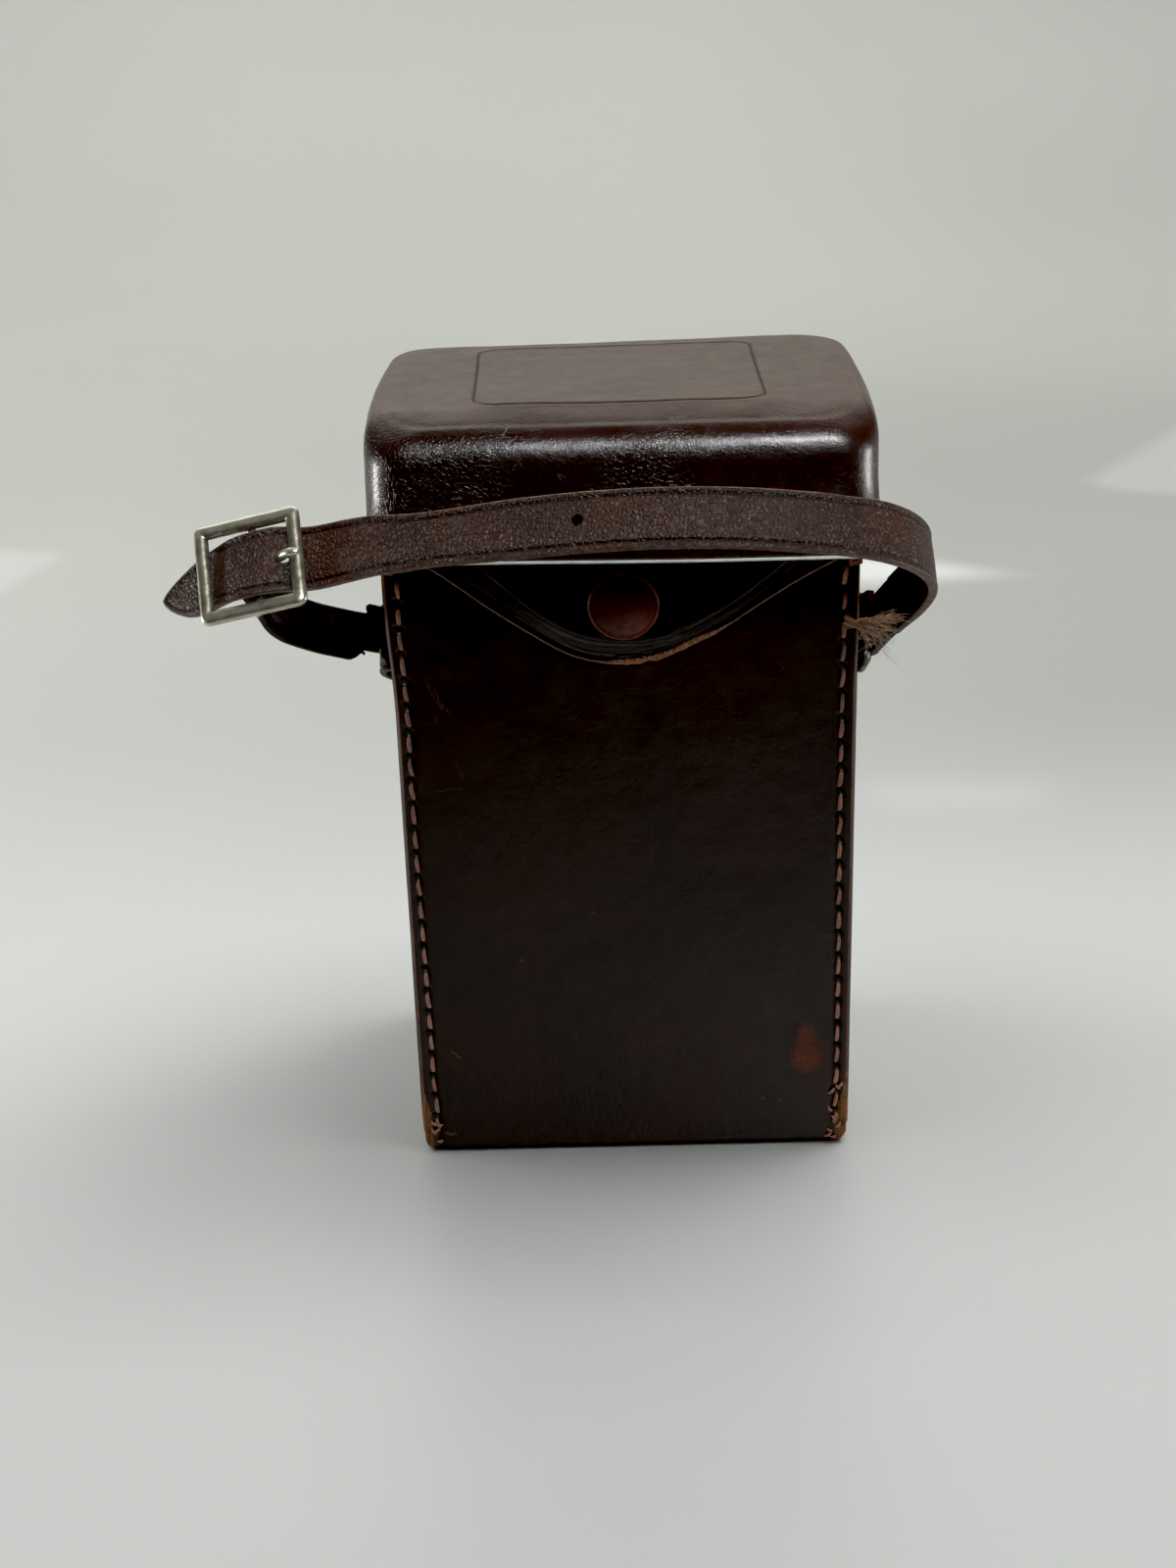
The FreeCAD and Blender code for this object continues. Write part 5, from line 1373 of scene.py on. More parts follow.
def even(P, step):
    s = np.r_[0, np.cumsum(np.linalg.norm(np.diff(P, axis=0), axis=1))]
    n = int(round(s[-1] / step))
    q = np.linspace(0, s[-1], n + 1)
    return np.stack([np.interp(q, s, P[:, k]) for k in range(P.shape[1])], 1), q


def soften(P, sigma, keep=None):
    """Gaussian smoothing along an evenly sampled path; keep is a weight of 0..1 per point for how much moves."""
    k = int(3 * sigma)
    w = np.exp(-0.5 * (np.arange(-k, k + 1) / sigma) ** 2)
    w /= w.sum()
    Q = np.pad(P, ((k, k), (0, 0)), mode="reflect", reflect_type="odd")
    S = np.stack([np.convolve(Q[:, c], w, "valid") for c in range(P.shape[1])], 1)
    if keep is None:
        return S
    return P + (S - P) * keep[:, None]


ba = math.radians(15)
BC = np.array([-75.0, 64.2])
BD = np.array([-math.cos(ba), -math.sin(ba)])
BF = np.array([-math.sin(ba), math.cos(ba)])


def bpt(s, v):
    q = BC + BD * s + BF * v
    return (q[0], q[1])


def band(name, P, S, half_w, thick, outer_sign, w0, mats, slotname, width_fn=None, groove=4.85, lean=None, seed=0, back=None):
    """A leather band along a path in the loop plane. P (n,2), S arc length, w0 centre height per point."""
    n = len(P)
    T = np.gradient(P, axis=0)
    T /= np.linalg.norm(T, axis=1)[:, None]
    Nn = np.stack([-T[:, 1], T[:, 0]], 1) * outer_sign
    h = thick / 2
    # section: (across, depth, kind), kind 0 grain side, 1 cut edge, 2 flesh side
    sec = []
    xs = sorted(set([round(v, 3) for v in list(np.linspace(-1, 1, 17)) + [s * g for s in (-1, 1) for g in
                                                                          (0.712 + np.array([-0.1, -0.07, -0.045, -0.025, 0, 0.025, 0.045, 0.07, 0.1]) * 1.0)]
                             + [s * 0.955 for s in (-1, 1)]]))
    xs = [v for v in xs if abs(v) <= 0.956]
    for v in xs:
        sec.append((v, 1.0, 0))
    for a in (15, 45, 75):
        sec.append((0.956 + 0.044 * math.sin(math.radians(a)), 1 - 0.28 * (1 - math.cos(math.radians(a))), 1))
    sec.append((1.0, 0.35, 1))
    sec.append((1.0, -0.6, 1))
    sec.append((0.985, -0.9, 1))
    for v in np.linspace(0.95, -0.95, 9):
        sec.append((v, -1.0, 2))
    sec.append((-0.985, -0.9, 1))
    sec.append((-1.0, -0.6, 1))
    sec.append((-1.0, 0.35, 1))
    for a in (75, 45, 15):
        sec.append((-0.956 - 0.044 * math.sin(math.radians(a)), 1 - 0.28 * (1 - math.cos(math.radians(a))), 1))
    m = len(sec)
    V = np.zeros((n, m, 3))
    G = np.zeros((n, m))
    gw = groove / half_w
    for i in range(n):
        hw = half_w if width_fn is None else width_fn(S[i])
        for j, (a, dpt, kind) in enumerate(sec):
            lat = a * hw
            dd = h * dpt
            if kind == 0:
                edge_d = hw - abs(lat)
                g0 = half_w - groove
                gg = math.exp(-((edge_d - g0) / 0.3) ** 2)
                dd -= 0.34 * gg
                dd += 0.15 * math.exp(-((edge_d - g0 + 0.75) / 0.4) ** 2)
                dd -= 0.10 * max(0, 1 - edge_d / 0.9) ** 2
                G[i, j] = gg
            # the band is a touch crowned across
            if kind == 0:
                dd += 0.10 * (1 - (lat / half_w) ** 2)
            ln = 0.0 if lean is None else lean[i]
            off = dd + lat * ln
            q = P[i] + Nn[i] * off
            V[i, j] = loop_pt(q[0], q[1], w0[i] + lat)
    flat = V.reshape(-1, 3)
    nz = 0.05 * fbm(flat / 6.0, seed + 60, 2)
    V = V + (nz.reshape(n, m)[..., None] * (Nn[:, None, 0:1] * EX + Nn[:, None, 1:2] * EU))
    F = grid_faces(n, m, wrap_m=True)
    kinds = [k for _, _, k in sec]
    fm = []
    for i in range(n - 1):
        for j in range(m):
            k0, k1 = kinds[j], kinds[(j + 1) % m]
            fm.append(0 if k0 == 0 and k1 == 0 else 2 if k0 == 2 and k1 == 2 else 1)
    # ends: a ladder of quads between grain side and flesh side
    VV = V.reshape(-1, 3)
    F.append(tuple(range(m - 1, -1, -1)))
    F.append(tuple((n - 1) * m + k for k in range(m)))
    fm += [2, 1]
    att = {"groove": G.reshape(-1)}
    if back is not None:
        att["back"] = np.repeat(back, m)
    ob = make(name, VV, F, mats, None, fmat=fm, attrs=att, sharp=60)
    return ob, V, Nn


# long strap: tail, fold round the right ring, front run, through the buckle, tip
RBx, RBu = 53.6, 10.9
RF = 1.22 + 0.95
tail = [(54.5, 18.8), (53.7, 16.6), (52.8, 14.4), (51.9, 12.6)]
wrapR = arc_pts((RBx, RBu), RF, 163, 352)
main = [(55.75, 12.4), (58.0, 25.0), (62.5, 41.5), (63.1, 56.0), (56.0, 69.5), (43.5, 78.2), (25.0, 83.5), (10.0, 84.9), (-5.0, 83.4), (-21.0, 79.8),
        (-38.5, 75.3), (-53.0, 70.2), bpt(-12.5, -2.7), bpt(-8.3, -2.2), bpt(-3.4, 1.35), bpt(2.6, 1.65), bpt(7.6, -2.1), bpt(12.0, -3.6), (-93.5, 50.4), (-94.7, 49.9)]
P0 = np.array([*arcs(tail, 0.5), *wrapR, *arcs(main, 0.5)[0:]])
P0, S0 = even(P0, 0.5)
S_total = S0[-1]
# arc length where the main run starts
wt = np.ones(len(P0)) * smooth(14, 34, S0)
P1 = soften(P0, 5.0, wt)
P1 = soften(P1, 1.6)
P1, S1 = even(P1, 0.55)
X1, U1 = P1[:, 0], P1[:, 1]
total = S1[-1]
# sideways drift: the band sits level along the front, then drops through the buckle to its tip
sb = S1 - (total - 33.0)
w0 = 0.0 - 0.12 * np.exp(-((X1 + 33) / 11.0) ** 2) * (S1 > 60) + 0.3 * smooth(42, 52, X1) * smooth(20, 40, S1) + 0.5 * smooth(-42, -50, X1) * smooth(9, 1, S1 - (total - 33.0))
w0 = w0 - 1.0 * smooth(0, 14, sb) - 1.9 * smooth(12, 28, sb)
w0 = w0 + 0.25 * np.sin(S1 / 21.0) * smooth(30, 60, S1) * smooth(0, -20, sb)
TIP_L = 14.5


def strap_width(s):
    d = total - s
    x = float(np.interp(s, S1, X1))
    hw = 6.08 + (s > 30) * float(0.3 * smooth(42, 52, x) + 0.5 * smooth(-38, -64, x) * smooth(9, 1, s - (total - 33.0)) + 0.5 * math.exp(-((x + 75) / 6.0) ** 2) - 0.5 * math.exp(-((x + 37) / 11.0) ** 2))
    if d < TIP_L:
        t = 1 - d / TIP_L
        return max(0.12, hw * (1 - t ** 1.75) ** 0.66)
    return hw


lean_r = -0.06 * smooth(24, 44, S1) * smooth(34, 50, X1)
# the back values paint shade on the cut edge of the strap's first stretch, round the right ring
strap, SV, SN = band("strap_long", P1, S1, 6.25, 1.9, -1, w0, [M_STRAP, M_EDGE, M_FLESH], "strap_leather", strap_width, lean=lean_r, seed=1, back=smooth(46, 30, S1))


def paint_hole(ob, c, ax, r, index):
    """Gives the walls of a cut hole a material of their own."""
    c, ax = Vector(c), Vector(ax).normalized()
    for f in ob.data.polygons:
        d = f.center / MM - c
        if abs(f.normal.dot(ax)) < 0.5 and (d - ax * d.dot(ax)).length < r and abs(d.dot(ax)) < 3.0:
            f.material_index = index


def nearest(P, q):
    return int(np.argmin(np.hypot(P[:, 0] - q[0], P[:, 1] - q[1])))


# round spare hole, and the hole that the prong stands in
ih = nearest(P1, (-8.6, 82.6))
T = P1[ih + 1] - P1[ih - 1]
T /= np.linalg.norm(T)
Nd = np.array([-T[1], T[0]])
ax3 = EX * Nd[0] + EU * Nd[1]
tg3 = EX * T[0] + EU * T[1]
hole_c = loop_pt(P1[ih, 0], P1[ih, 1], 0.45)
boolean_cut(strap, *prism(hole_c, ax3, tg3, EW, 1.12, 1.12, 3.0), keep_smooth=60)
paint_hole(strap, hole_c, ax3, 1.5, 2)
ip = nearest(P1, bpt(-7.2, 0.3))
T = P1[ip + 1] - P1[ip - 1]
T /= np.linalg.norm(T)
Nd = np.array([-T[1], T[0]])
ax3 = EX * Nd[0] + EU * Nd[1]
tg3 = EX * T[0] + EU * T[1]
slot_c = loop_pt(P1[ip, 0], P1[ip, 1], 0.55)
boolean_cut(strap, *prism(slot_c, ax3, tg3, EW, 1.45, 1.12, 3.0), keep_smooth=60)
paint_hole(strap, slot_c, ax3, 2.2, 2)
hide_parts("long_strap")
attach(strap, "strap")

# buckle strap: tail, fold round the buckle's bar, run back, fold round the left ring, tail
BBx, BBu = bpt(0, -2.35)
LBx, LBu = -54.1, 10.6
RI = 1.12 + 0.85
RJ = 1.22 + 0.85
t1 = [(-72.2, 45.2), (-72.2, 50.0), (-72.4, 55.5), (-72.4, 59.8)]
w1 = arc_pts((BBx, BBu), RI, -8, 186)
m1 = [(-76.2, 59.0), (-75.3, 50.5), (-74.9, 38.5), (-72.9, 27.8), (-68.0, 20.1), (-62.0, 15.0), (-57.0, 10.4)]
w2 = arc_pts((LBx, LBu), RJ, 225, 400)
t2 = [(-53.0, 12.6), (-54.4, 14.2), (-55.7, 15.4), (-56.9, 16.3)]
Q0 = np.array([*arcs(t1, 0.5), *w1, *arcs(m1, 0.5), *w2, *arcs(t2, 0.5)])
Q0, R0 = even(Q0, 0.5)
Q1 = soften(Q0, 1.5)
Q1, R1 = even(Q1, 0.55)
wq = -0.35 * smooth(25, 50, R1) * smooth(R1[-1], R1[-1] - 20, R1) + 0.3 * smooth(R1[-1] - 9, R1[-1], R1)
rb = R1[nearest(Q1, (-74.9, 44.0))]


rl = R1[nearest(Q1, (LBx - 2.0, LBu))]


def billet_width(s):
    return 6.25 - 0.65 * float(smooth(rb, rb + 24, s)) - 1.35 * float(smooth(rl - 6, rl - 1.5, s))


wq = wq + 0.6 * smooth(rb, rb + 24, R1) + 1.5 * smooth(rl - 6, rl - 1.5, R1)
bstrap, BV, BN = band("strap_short", Q1, R1, 6.25, 1.7, 1, wq, [M_STRAP_SHADED, M_FLESH, M_FLESH], "strap_leather", billet_width, seed=7)
# slot for the prong, through the fold
sl = []
cx = EX * (-BD[0]) + EU * (-BD[1])
cy = EX * BF[0] + EU * BF[1]
c0 = loop_pt(BBx, BBu, 0)
for dz in (-1.7, 1.7):
    for dx, dy in ((-3.2, -3.6), (5.8, -3.6), (5.8, 5.4), (-3.2, 5.4)):
        sl.append(c0 + cx * dx + cy * dy + EW * dz)
boolean_cut(bstrap, sl, [(0, 3, 2, 1), (4, 5, 6, 7), (0, 1, 5, 4), (1, 2, 6, 5), (2, 3, 7, 6), (3, 0, 4, 7)], keep_smooth=60)
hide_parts("buckle_strap")
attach(bstrap, "strap")


# side tabs: leather folded round the rear bar of each ring, both ends on the rivet
def build_tab(side):
    A = (53.0, 3.0)
    rf = 1.22 + 0.8
    pts = [(51.0, -10.4), (51.0, -3.0), (51.0, 1.4)]
    wrap = arc_pts(A, rf, 185, -5)
    back = [(53.05 + 1.9, 0.8), (53.0, -2.6), (52.6, -4.6), (52.6, -10.4)]
    T0 = np.array([*arcs(pts, 0.4), *wrap, *arcs(back, 0.4)])
    T0, s0 = even(T0, 0.4)
    T1 = soften(T0, 1.3)
    T1, s1 = even(T1, 0.45)
    tot = s1[-1]

    def wf(s):
        d = min(s, tot - s)
        if d < 5.5:
            return max(0.3, math.sqrt(max(0.0, 5.5 ** 2 - (5.5 - d) ** 2)))
        return 5.5

    T2 = T1.copy()
    T2[:, 0] *= side
    ob, _, _ = band("tab_" + ("right" if side > 0 else "left"), T2, s1, 5.5, 1.5, 1 if side > 0 else -1, np.zeros(len(T2)),
                    [M_STRAP_SHADED, M_EDGE, M_FLESH], "strap_leather", wf, groove=4.2, seed=12 + side)
    return ob


tab_r, tab_l = build_tab(1), build_tab(-1)
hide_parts("swivel_tabs")
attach(tab_r, "strap")
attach(tab_l, "strap")


# stitches that close the folds
def fold_threads():
    bag = Bag()
    for (PP, NN, idx, th, wlist) in ((P1, SN, nearest(P1, (59.2, 20.5)), 1.9, (-4.3, -1.5, 1.5, 4.3)),):
        pass

    def put(P, N, i, th, w, back):
        c = P[i]
        t = P[i + 1] - P[i - 1]
        t /= np.linalg.norm(t)
        o = N[i] * (th / 2 + 0.12)
        a, b = c + o - t * 1.3, c + o + t * 1.3
        out = EX * N[i][0] + EU * N[i][1]
        pts = arch(loop_pt(a[0], a[1], w), loop_pt(b[0], b[1], w), out, 0.22, 7)
        v, f = tube(pts, 0.3, 8)
        bag.add(v, f, 0.35 + 0.3 * rng.random())

    # outside of the main runs, near the folds
    i = nearest(P1[36:], (57.6, 22.0)) + 36
    for w in (-4.2, -1.4, 1.4, 4.2):
        put(P1, SN, i, 1.9, w, False)
    half = len(Q1) // 2
    i = nearest(Q1[half - 20:half + 60], (-59.4, 12.6)) + half - 20
    for w in (-3.6, -1.0, 1.6, 4.2):
        put(Q1, BN, i, 1.7, w, False)
    i = nearest(Q1[35:90], (-76.2, 56.5)) + 35
    for w in (-3.0, -1.0, 1.4, 4.2):
        put(Q1, BN, i, 1.7, w, False)
    ob = make("fold_stitches", bag.v, bag.f, [M_DTHREAD], None, attrs={"tone": bag.tone}, sharp=80)
    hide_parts("fold_stitching")
    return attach(ob, "strap")


fold_threads()

# ------------------------------------------------------------------ buckle
BT = math.radians(-6.4)


def buckle_pt(s, o, w):
    """Buckle's own axes: s towards the tip, o outward, w along its bars."""
    s1 = s * math.cos(BT) - w * math.sin(BT)
    w1 = s * math.sin(BT) + w * math.cos(BT) - 0.45
    q = BC + BD * s1 + BF * o
    return loop_pt(q[0], q[1], w1)


def build_buckle():
    hw, hh, R = 23.0 / 2 - 1.44, 21.3 / 2 - 1.5, 1.46
    prof = []
    # D-shaped section: (offset from the bar's middle, outward height)
    for a in np.linspace(0, 180, 15):
        t = math.radians(a)
        prof.append((R * math.cos(t), 1.25 * math.sin(t) ** 0.85))
    prof += [(-R * 0.96, -0.35), (-R * 0.7, -0.72), (0, -0.85), (R * 0.7, -0.72), (R * 0.96, -0.35)]
    rings = []
    for dlt, ht in prof:
        rr = max(0.12, 1.75 * (dlt + R) / (2 * R))
        pts = rrect(hw + dlt, hh + dlt, rr, 0, nx=22, ny=20, nc=8)
        rings.append([(p[0], ht, p[1]) for p in pts])
    G = np.array(rings)
    n, m, _ = G.shape
    nz = fbm(G.reshape(-1, 3) / 5.0 + 3.0, 71, 3).reshape(n, m)
    G[..., 1] += 0.06 * nz
    V = np.array([buckle_pt(s, o, w) for s, o, w in G.reshape(-1, 3)])
    F = grid_faces(n, m, wrap_m=True, wrap_n=True)
    # painted shade: the inner half of each bar's section and its underside are darkened
    dirt_and_shade = np.repeat([float(smooth(0.35, -0.95, dlt / R)) * 0.75 if ht > -0.3 else 0.8 for dlt, ht in prof], m)
    # painted shade: the two side bars are darkened more than the top and bottom ones
    Wg = np.abs(G[..., 2].reshape(-1))
    dirt_and_shade = np.maximum(dirt_and_shade, 0.55 * smooth(hh + 0.2, hh - 2.2, Wg))
    # painted shade: the lower bar is darkened a little
    dirt_and_shade = np.maximum(dirt_and_shade, 0.35 * (G[..., 2].reshape(-1) < -hh + 1.0))
    bag = Bag()
    bag.add(V, F)
    # centre bar, set behind the frame
    P = [buckle_pt(0, -0.3, hh + 0.25), buckle_pt(0, -1.6, hh + 0.15), buckle_pt(0, -2.35, hh - 1.0), buckle_pt(0, -2.35, 0), buckle_pt(0, -2.35, -hh + 1.0),
         buckle_pt(0, -1.6, -hh - 0.15), buckle_pt(0, -0.3, -hh - 0.25)]
    v, f = tube(P, [1.0] * 7, 16)
    bag.add(v, f)
    # painted shade: the centre bar under the strap is darkened
    pat = np.concatenate([dirt_and_shade, np.full(len(bag.v) - len(dirt_and_shade), 0.6)])
    ob = make("buckle_square", bag.v, bag.f, [M_NICKEL], None, attrs={"patina_and_shade": pat}, sharp=50)
    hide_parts("buckle_frame")
    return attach(ob, "strap")


build_buckle()


def build_prong():
    # from the centre bar, under the strap, up through its hole and on to the frame's right bar
    q = crom([(-0.9, -2.3), (-3.0, -1.95), (-5.0, -1.3), (-6.4, -0.2), (-7.8, 0.95), (-9.4, 1.8), (-11.6, 2.1)], 0.3)
    P, R = [], []
    for k in range(len(q)):
        t = k / (len(q) - 1)
        P.append(buckle_unt(q[k, 0], q[k, 1], 0.1 + 0.75 * float(smooth(-2.0, -6.0, q[k, 0]))))
        r = 0.92 + 0.08 * math.sin(math.pi * min(1, t * 1.1))
        if t > 0.8:
            r *= math.sqrt(max(0.02, 1 - ((t - 0.8) / 0.2) ** 2 * 0.95))
        R.append(r)
    v, f = tube(P, R, 16)
    bag = Bag()
    bag.add(v, f)
    # eye round the centre bar
    E = []
    for k in range(25):
        t = 2 * math.pi * k / 24
        E.append((math.cos(t), math.sin(t)))
    ro, ri = 2.1, 1.08
    V = []
    for (c, s) in E[:-1]:
        for rad, w in ((ro, 1.2), (ro, -1.2), (ri, -1.2), (ri, 1.2)):
            V.append(buckle_unt(rad * c, -2.35 + rad * s, w))
    F = []
    for k in range(24):
        k2 = (k + 1) % 24
        for j in range(4):
            j2 = (j + 1) % 4
            F.append((k * 4 + j, k * 4 + j2, k2 * 4 + j2, k2 * 4 + j))
    bag.add(V, F)
    ob = make("buckle_pin", bag.v, bag.f, [M_NICKEL], None, sharp=50)
    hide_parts("buckle_prong")
    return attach(ob, "prong")


def buckle_unt(s, o, w):
    """As buckle_pt, without the frame's turn in its face."""
    q = BC + BD * s + BF * o
    return loop_pt(q[0], q[1], w)


build_prong()


def build_rings():
    bag = Bag()
    dull = []
    for side, (A, B), hw, sh in ((1, ((53.0, 3.0), (53.6, 10.9)), 7.6, 0.0), (-1, ((-53.0, 3.0), (-54.1, 10.6)), 5.6, 2.4)):
        A, B = np.array(A), np.array(B)
        d = (B - A) / np.linalg.norm(B - A)
        L = np.linalg.norm(B - A) / 2
        c = (A + B) / 2
        pts = rrect(L, hw, 1.9, 0, nx=8, ny=14, nc=7)
        P = np.array([loop_pt(*(c + d * a), b + sh) for a, b, _ in pts])
        n = len(P)
        # closed wire
        T = np.roll(P, -1, 0) - np.roll(P, 1, 0)
        T /= np.linalg.norm(T, axis=1)[:, None]
        nn = np.cross(EX * d[0] + EU * d[1], EW)
        V = []
        for i in range(n):
            b = np.cross(T[i], nn)
            for k in range(12):
                t = 2 * math.pi * k / 12
                V.append(P[i] + (nn * math.cos(t) + b * math.sin(t)) * 1.1)
        bag.add(V, grid_faces(n, 12, wrap_m=True, wrap_n=True))
        # painted shade: the left ring is darkened fully, on the side away from the light; the right ring has a little
        # patina
        dull += [0.25 if side > 0 else 1.0] * len(V)
    ob = make("wire_rings", bag.v, bag.f, [M_DARKRING], None, attrs={"patina_and_shade": np.array(dull)}, sharp=80)
    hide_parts("strap_rings")
    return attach(ob, "strap")


build_rings()


# ------------------------------------------------------------------ frayed thread
def build_tuft():
    bag = Bag()
    g = np.random.default_rng(5)
    root = np.array([46.4, -36.1, 128.4])
    # the broken seam's loose plies, drawn across to the edge
    for k in range(9):
        a = root + np.array([g.uniform(-0.7, 0.3), 0, g.uniform(-1.6, 1.4)])
        b = np.array([50.2, -36.6 + g.uniform(-0.4, 0.3), 127.6 + g.uniform(-1.2, 1.2)])
        P = [a, a * 0.6 + b * 0.4 + np.array([0, -0.35, 0]), b]
        P = crom(P, 0.5)
        v, f = tube(P, np.linspace(0.42, 0.3, len(P)), 7)
        bag.add(v, f, g.uniform(0.0, 0.25))
    ends = []
    for k in range(150):
        # a fan: a denser upper lock and a looser lower one
        if k < 52:
            tgt = np.array([56.6 + g.normal(0, 1.3), -38.2 + g.normal(0, 1.0), 129.4 + g.normal(0, 0.75)])
        elif k < 88:
            tgt = np.array([55.2 + g.normal(0, 1.6), -38.6 + g.normal(0, 1.2), 126.6 + g.normal(0, 1.3)])
        elif k < 106:
            tgt = np.array([53.4 + g.normal(0, 1.6), -38.4 + g.normal(0, 1.1), 124.2 + g.normal(0, 1.5)])
        else:
            tgt = np.array([54.2 + g.normal(0, 1.9), -38.6 + g.normal(0, 1.6), 125.6 + g.normal(0, 2.9)])
        st = np.array([49.6 + g.uniform(-0.5, 0.5), -36.5 + g.uniform(-0.4, 0.3), 127.5 + g.uniform(-1.0, 1.2)])
        q1 = st * 0.72 + tgt * 0.28 + g.normal(0, 0.3, 3) + np.array([0, 0, 0.12])
        mid = st * 0.5 + tgt * 0.5 + np.array([g.normal(0, 0.4), g.normal(0, 0.4), g.normal(0, 0.42) + 0.15])
        q3 = st * 0.22 + tgt * 0.78 + g.normal(0, 0.42, 3)
        P = crom([st, q1, mid, q3, tgt + g.normal(0, 0.45, 3)], 0.45)
        r0 = g.uniform(0.07, 0.13) if k < 88 else g.uniform(0.04, 0.07)
        v, f = tube(P, np.linspace(r0, 0.035, len(P)), 5)
        bag.add(v, f, min(1, max(0, g.normal(0.5, 0.34))))
    ob = make("frayed_thread", bag.v, bag.f, [M_FIBRE], None, attrs={"tone": bag.tone}, sharp=80)
    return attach(ob, "case")


build_tuft()

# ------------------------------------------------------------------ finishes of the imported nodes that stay
FIN = {"side_gusset_right": M_BODY, "side_gusset_left": M_BODY, "body_lining": M_LINING, "lid_lining": M_LINING, "snap_stud": M_BRASS,
       "snap_post": M_BRASS, "tab_rivets": M_BRASS, "tab_rivet_washers": M_BRASS, "snap_socket": M_BRASS, "snap_spring": M_STEEL,
       }
for name, mat in FIN.items():
    o = NODES[name]
    if len(o.material_slots) == 0:
        o.data.materials.append(mat)
    for s in o.material_slots:
        s.material = mat
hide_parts("side_gusset_right")
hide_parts("side_gusset_left")


# ------------------------------------------------------------------ room
def build_floor():
    prof = [(-3.0, 0.0), (-1.0, 0.0), (0.0, 0.0), (0.9, 0.0)]
    for a in np.linspace(0, 90, 14)[1:]:
        t = math.radians(a)
        prof.append((0.9 + 0.6 * math.sin(t), 0.6 - 0.6 * math.cos(t)))
    prof.append((1.5, 3.0))
    V, F = [], []
    for y, z in prof:
        V += [(-4.0, y, z), (4.0, y, z)]
    for i in range(len(prof) - 1):
        F.append((2 * i, 2 * i + 1, 2 * i + 3, 2 * i + 2))
    me = bpy.data.meshes.new("floor")
    me.from_pydata(V, [], F)
    n = NT("floor_pale")
    p = n.tc.outputs["Object"]
    x, y, z = n.sep(p)
    c = n.mix(n.ramp(n.noise(p, 1.3, 3, 0.5), 0.3, 0.7), (0.60, 0.61, 0.595, 1), (0.66, 0.67, 0.655, 1))
    # painted shade: the floor is coloured near-black in front of the case, standing for the table's end and the dark
    # room beyond
    c = n.mix(n.ramp(n.m("ADD", y, n.m("MULTIPLY", x, 0.05)), -0.195, -0.315), c, (0.03, 0.025, 0.022, 1))
    # painted shade: darker towards the back, most of all at the right
    ay = n.m("MULTIPLY", n.ramp(y, 0.02, 0.26), n.ramp(y, 1.05, 0.55))
    bx = n.ramp(x, -0.25, 0.15, 0.14, 0.34, "LINEAR")
    c = n.vm("SCALE", c, n.m("SUBTRACT", 1.0, n.m("MULTIPLY", ay, bx)))
    # painted shade: darker towards the front
    c = n.vm("SCALE", c, n.m("SUBTRACT", 1.0, n.m("MULTIPLY", n.ramp(y, 0.06, -0.12), 0.13)))
    # warm light far off, cooler near
    c = n.vm("MULTIPLY", c, n.mix(n.ramp(y, -0.1, 0.5), (0.995, 1.0, 1.012, 1), (1.01, 1.015, 0.975, 1)))
    n.set(color=c, rough=0.34, spec=0.4)

    def patch(pts, soft):
        """Soft mask of a convex patch of sunlight, corners in metres, clockwise from above."""
        out = None
        for (x0, y0), (x1, y1) in zip(pts, pts[1:] + pts[:1]):
            L = math.hypot(x1 - x0, y1 - y0)
            nx, ny = (y1 - y0) / L, -(x1 - x0) / L
            d = n.m("ADD", n.m("ADD", n.m("MULTIPLY", x, nx), n.m("MULTIPLY", y, ny)), -(x0 * nx + y0 * ny))
            k = n.ramp(d, -soft * 0.3, soft)
            out = k if out is None else n.m("MULTIPLY", out, k)
        return out

    glow = n.m("MULTIPLY", patch([(0.070, 0.470), (0.182, 0.398), (0.090, 0.384)], 0.022), 0.34)
    for pts, soft, k in (([(-0.330, 0.500), (-0.243, 0.472), (-0.262, 0.400), (-0.330, 0.390)], 0.014, 0.085),
                         ([(0.222, 0.546), (0.320, 0.690), (0.320, 0.500), (0.236, 0.524)], 0.014, 0.09),
                         ([(0.070, 0.190), (0.150, 0.184), (0.134, 0.148), (0.070, 0.152)], 0.022, 0.06)):
        glow = n.m("ADD", glow, n.m("MULTIPLY", patch(pts, soft), k))
    n.put(n.bsdf.inputs["Emission Color"], n.comb(glow, glow, glow))
    n.bsdf.inputs["Emission Strength"].default_value = 1.0
    me.materials.append(n.mat)
    me.polygons.foreach_set("use_smooth", np.ones(len(me.polygons), bool))
    ob = bpy.data.objects.new("floor", me)
    scene.collection.objects.link(ob)


build_floor()


def area(name, loc, target, size, power, colour=(1, 1, 1), size_y=None, glossy=True, diffuse=True):
    l = bpy.data.lights.new(name, "AREA")
    l.energy = power
    l.color = colour
    l.shape = "RECTANGLE" if size_y else "SQUARE"
    l.size = size
    if size_y:
        l.size_y = size_y
    o = bpy.data.objects.new(name, l)
    scene.collection.objects.link(o)
    o.location = loc
    d = Vector(target) - Vector(loc)
    o.rotation_mode = "QUATERNION"
    o.rotation_quaternion = d.to_track_quat("-Z", "Y")
    o.visible_glossy = glossy
    o.visible_diffuse = diffuse
    o.visible_camera = False
    return o


# broad daylight on floor and wall
area("daylight", (0.42, 0.10, 1.4), (-0.02, 0.02, 0.02), 0.75, 14.3, (1.0, 1.0, 0.985), glossy=False)
area("wall_wash", (-0.6, 0.1, 1.3), (-0.3, 1.5, 0.5), 1.0, 12.8, (1.0, 1.0, 0.985), glossy=False)
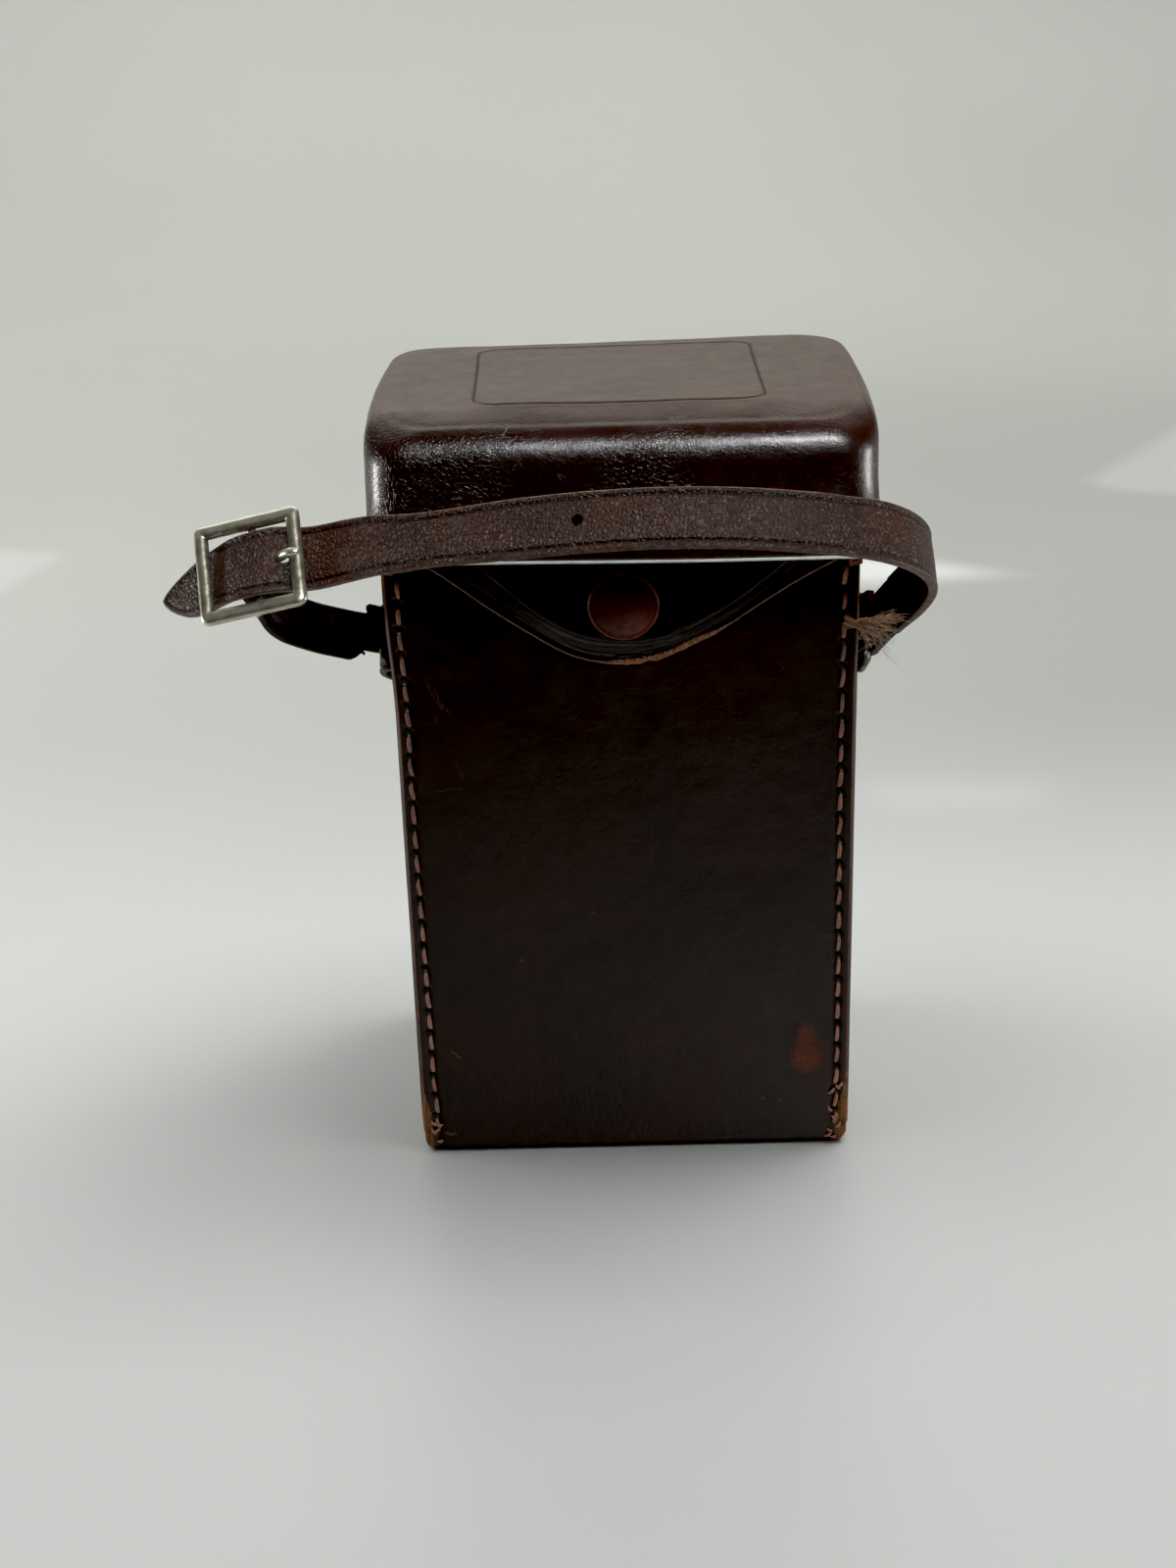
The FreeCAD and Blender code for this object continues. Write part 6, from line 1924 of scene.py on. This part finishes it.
# what the gloss sees: an opening high up at the right, and bright patches low at both sides
area("high_window", (0.27, -1.08, 0.92), (0.03, -0.04, 0.17), 0.24, 20.0, (0.97, 0.98, 1.0), 0.24, diffuse=False)
area("left_patch", (-0.62, 0.0, 0.055), (-0.05, -0.04, 0.16), 0.12, 2.0, (1, 0.99, 0.97), 0.07, diffuse=False)
area("right_patch", (0.66, 0.0, 0.06), (0.05, -0.04, 0.16), 0.16, 1.6, (1, 0.99, 0.97), 0.09, diffuse=False)

# the bright wall and ceiling behind, as the top's gloss sees them, and a faint one at the left front
area("sky_panel", (-0.05, 1.23, 1.3), (0.0, -0.03, 0.17), 3.0, 15.0, (1.0, 1.0, 0.96), 1.2, diffuse=False)
area("left_sky", (-0.85, -0.85, 1.1), (-0.06, -0.06, 0.14), 1.0, 0.25, (1.0, 0.97, 1.0), diffuse=False)

world = bpy.data.worlds.new("world")
scene.world = world
world.use_nodes = True
wn = world.node_tree
wn.nodes.clear()
wo = wn.nodes.new("ShaderNodeOutputWorld")
wb = wn.nodes.new("ShaderNodeBackground")
wb.inputs["Color"].default_value = (0.80, 0.81, 0.81, 1)
# bright above and behind, dark towards the front
wt_ = wn.nodes.new("ShaderNodeTexCoord")
ws = wn.nodes.new("ShaderNodeSeparateXYZ")
wr_ = wn.nodes.new("ShaderNodeMapRange")
wr_.inputs["From Min"].default_value = -0.45
wr_.inputs["From Max"].default_value = 0.15
wr_.inputs["To Min"].default_value = 0.05
wr_.inputs["To Max"].default_value = 0.50
wn.links.new(wt_.outputs["Generated"], ws.inputs[0])
wn.links.new(ws.outputs[1], wr_.inputs["Value"])
wn.links.new(wr_.outputs["Result"], wb.inputs["Strength"])
wn.links.new(wb.outputs[0], wo.inputs[0])
world.cycles_visibility.glossy = False
scene.view_settings.view_transform = "Standard"
scene.view_settings.look = "None"
# a camera's own contrast: the last of the veil is taken off the blacks
scene.view_settings.use_curve_mapping = True
scene.view_settings.curve_mapping.black_level = (0.0074, 0.0084, 0.0092)
scene.view_settings.curve_mapping.update()
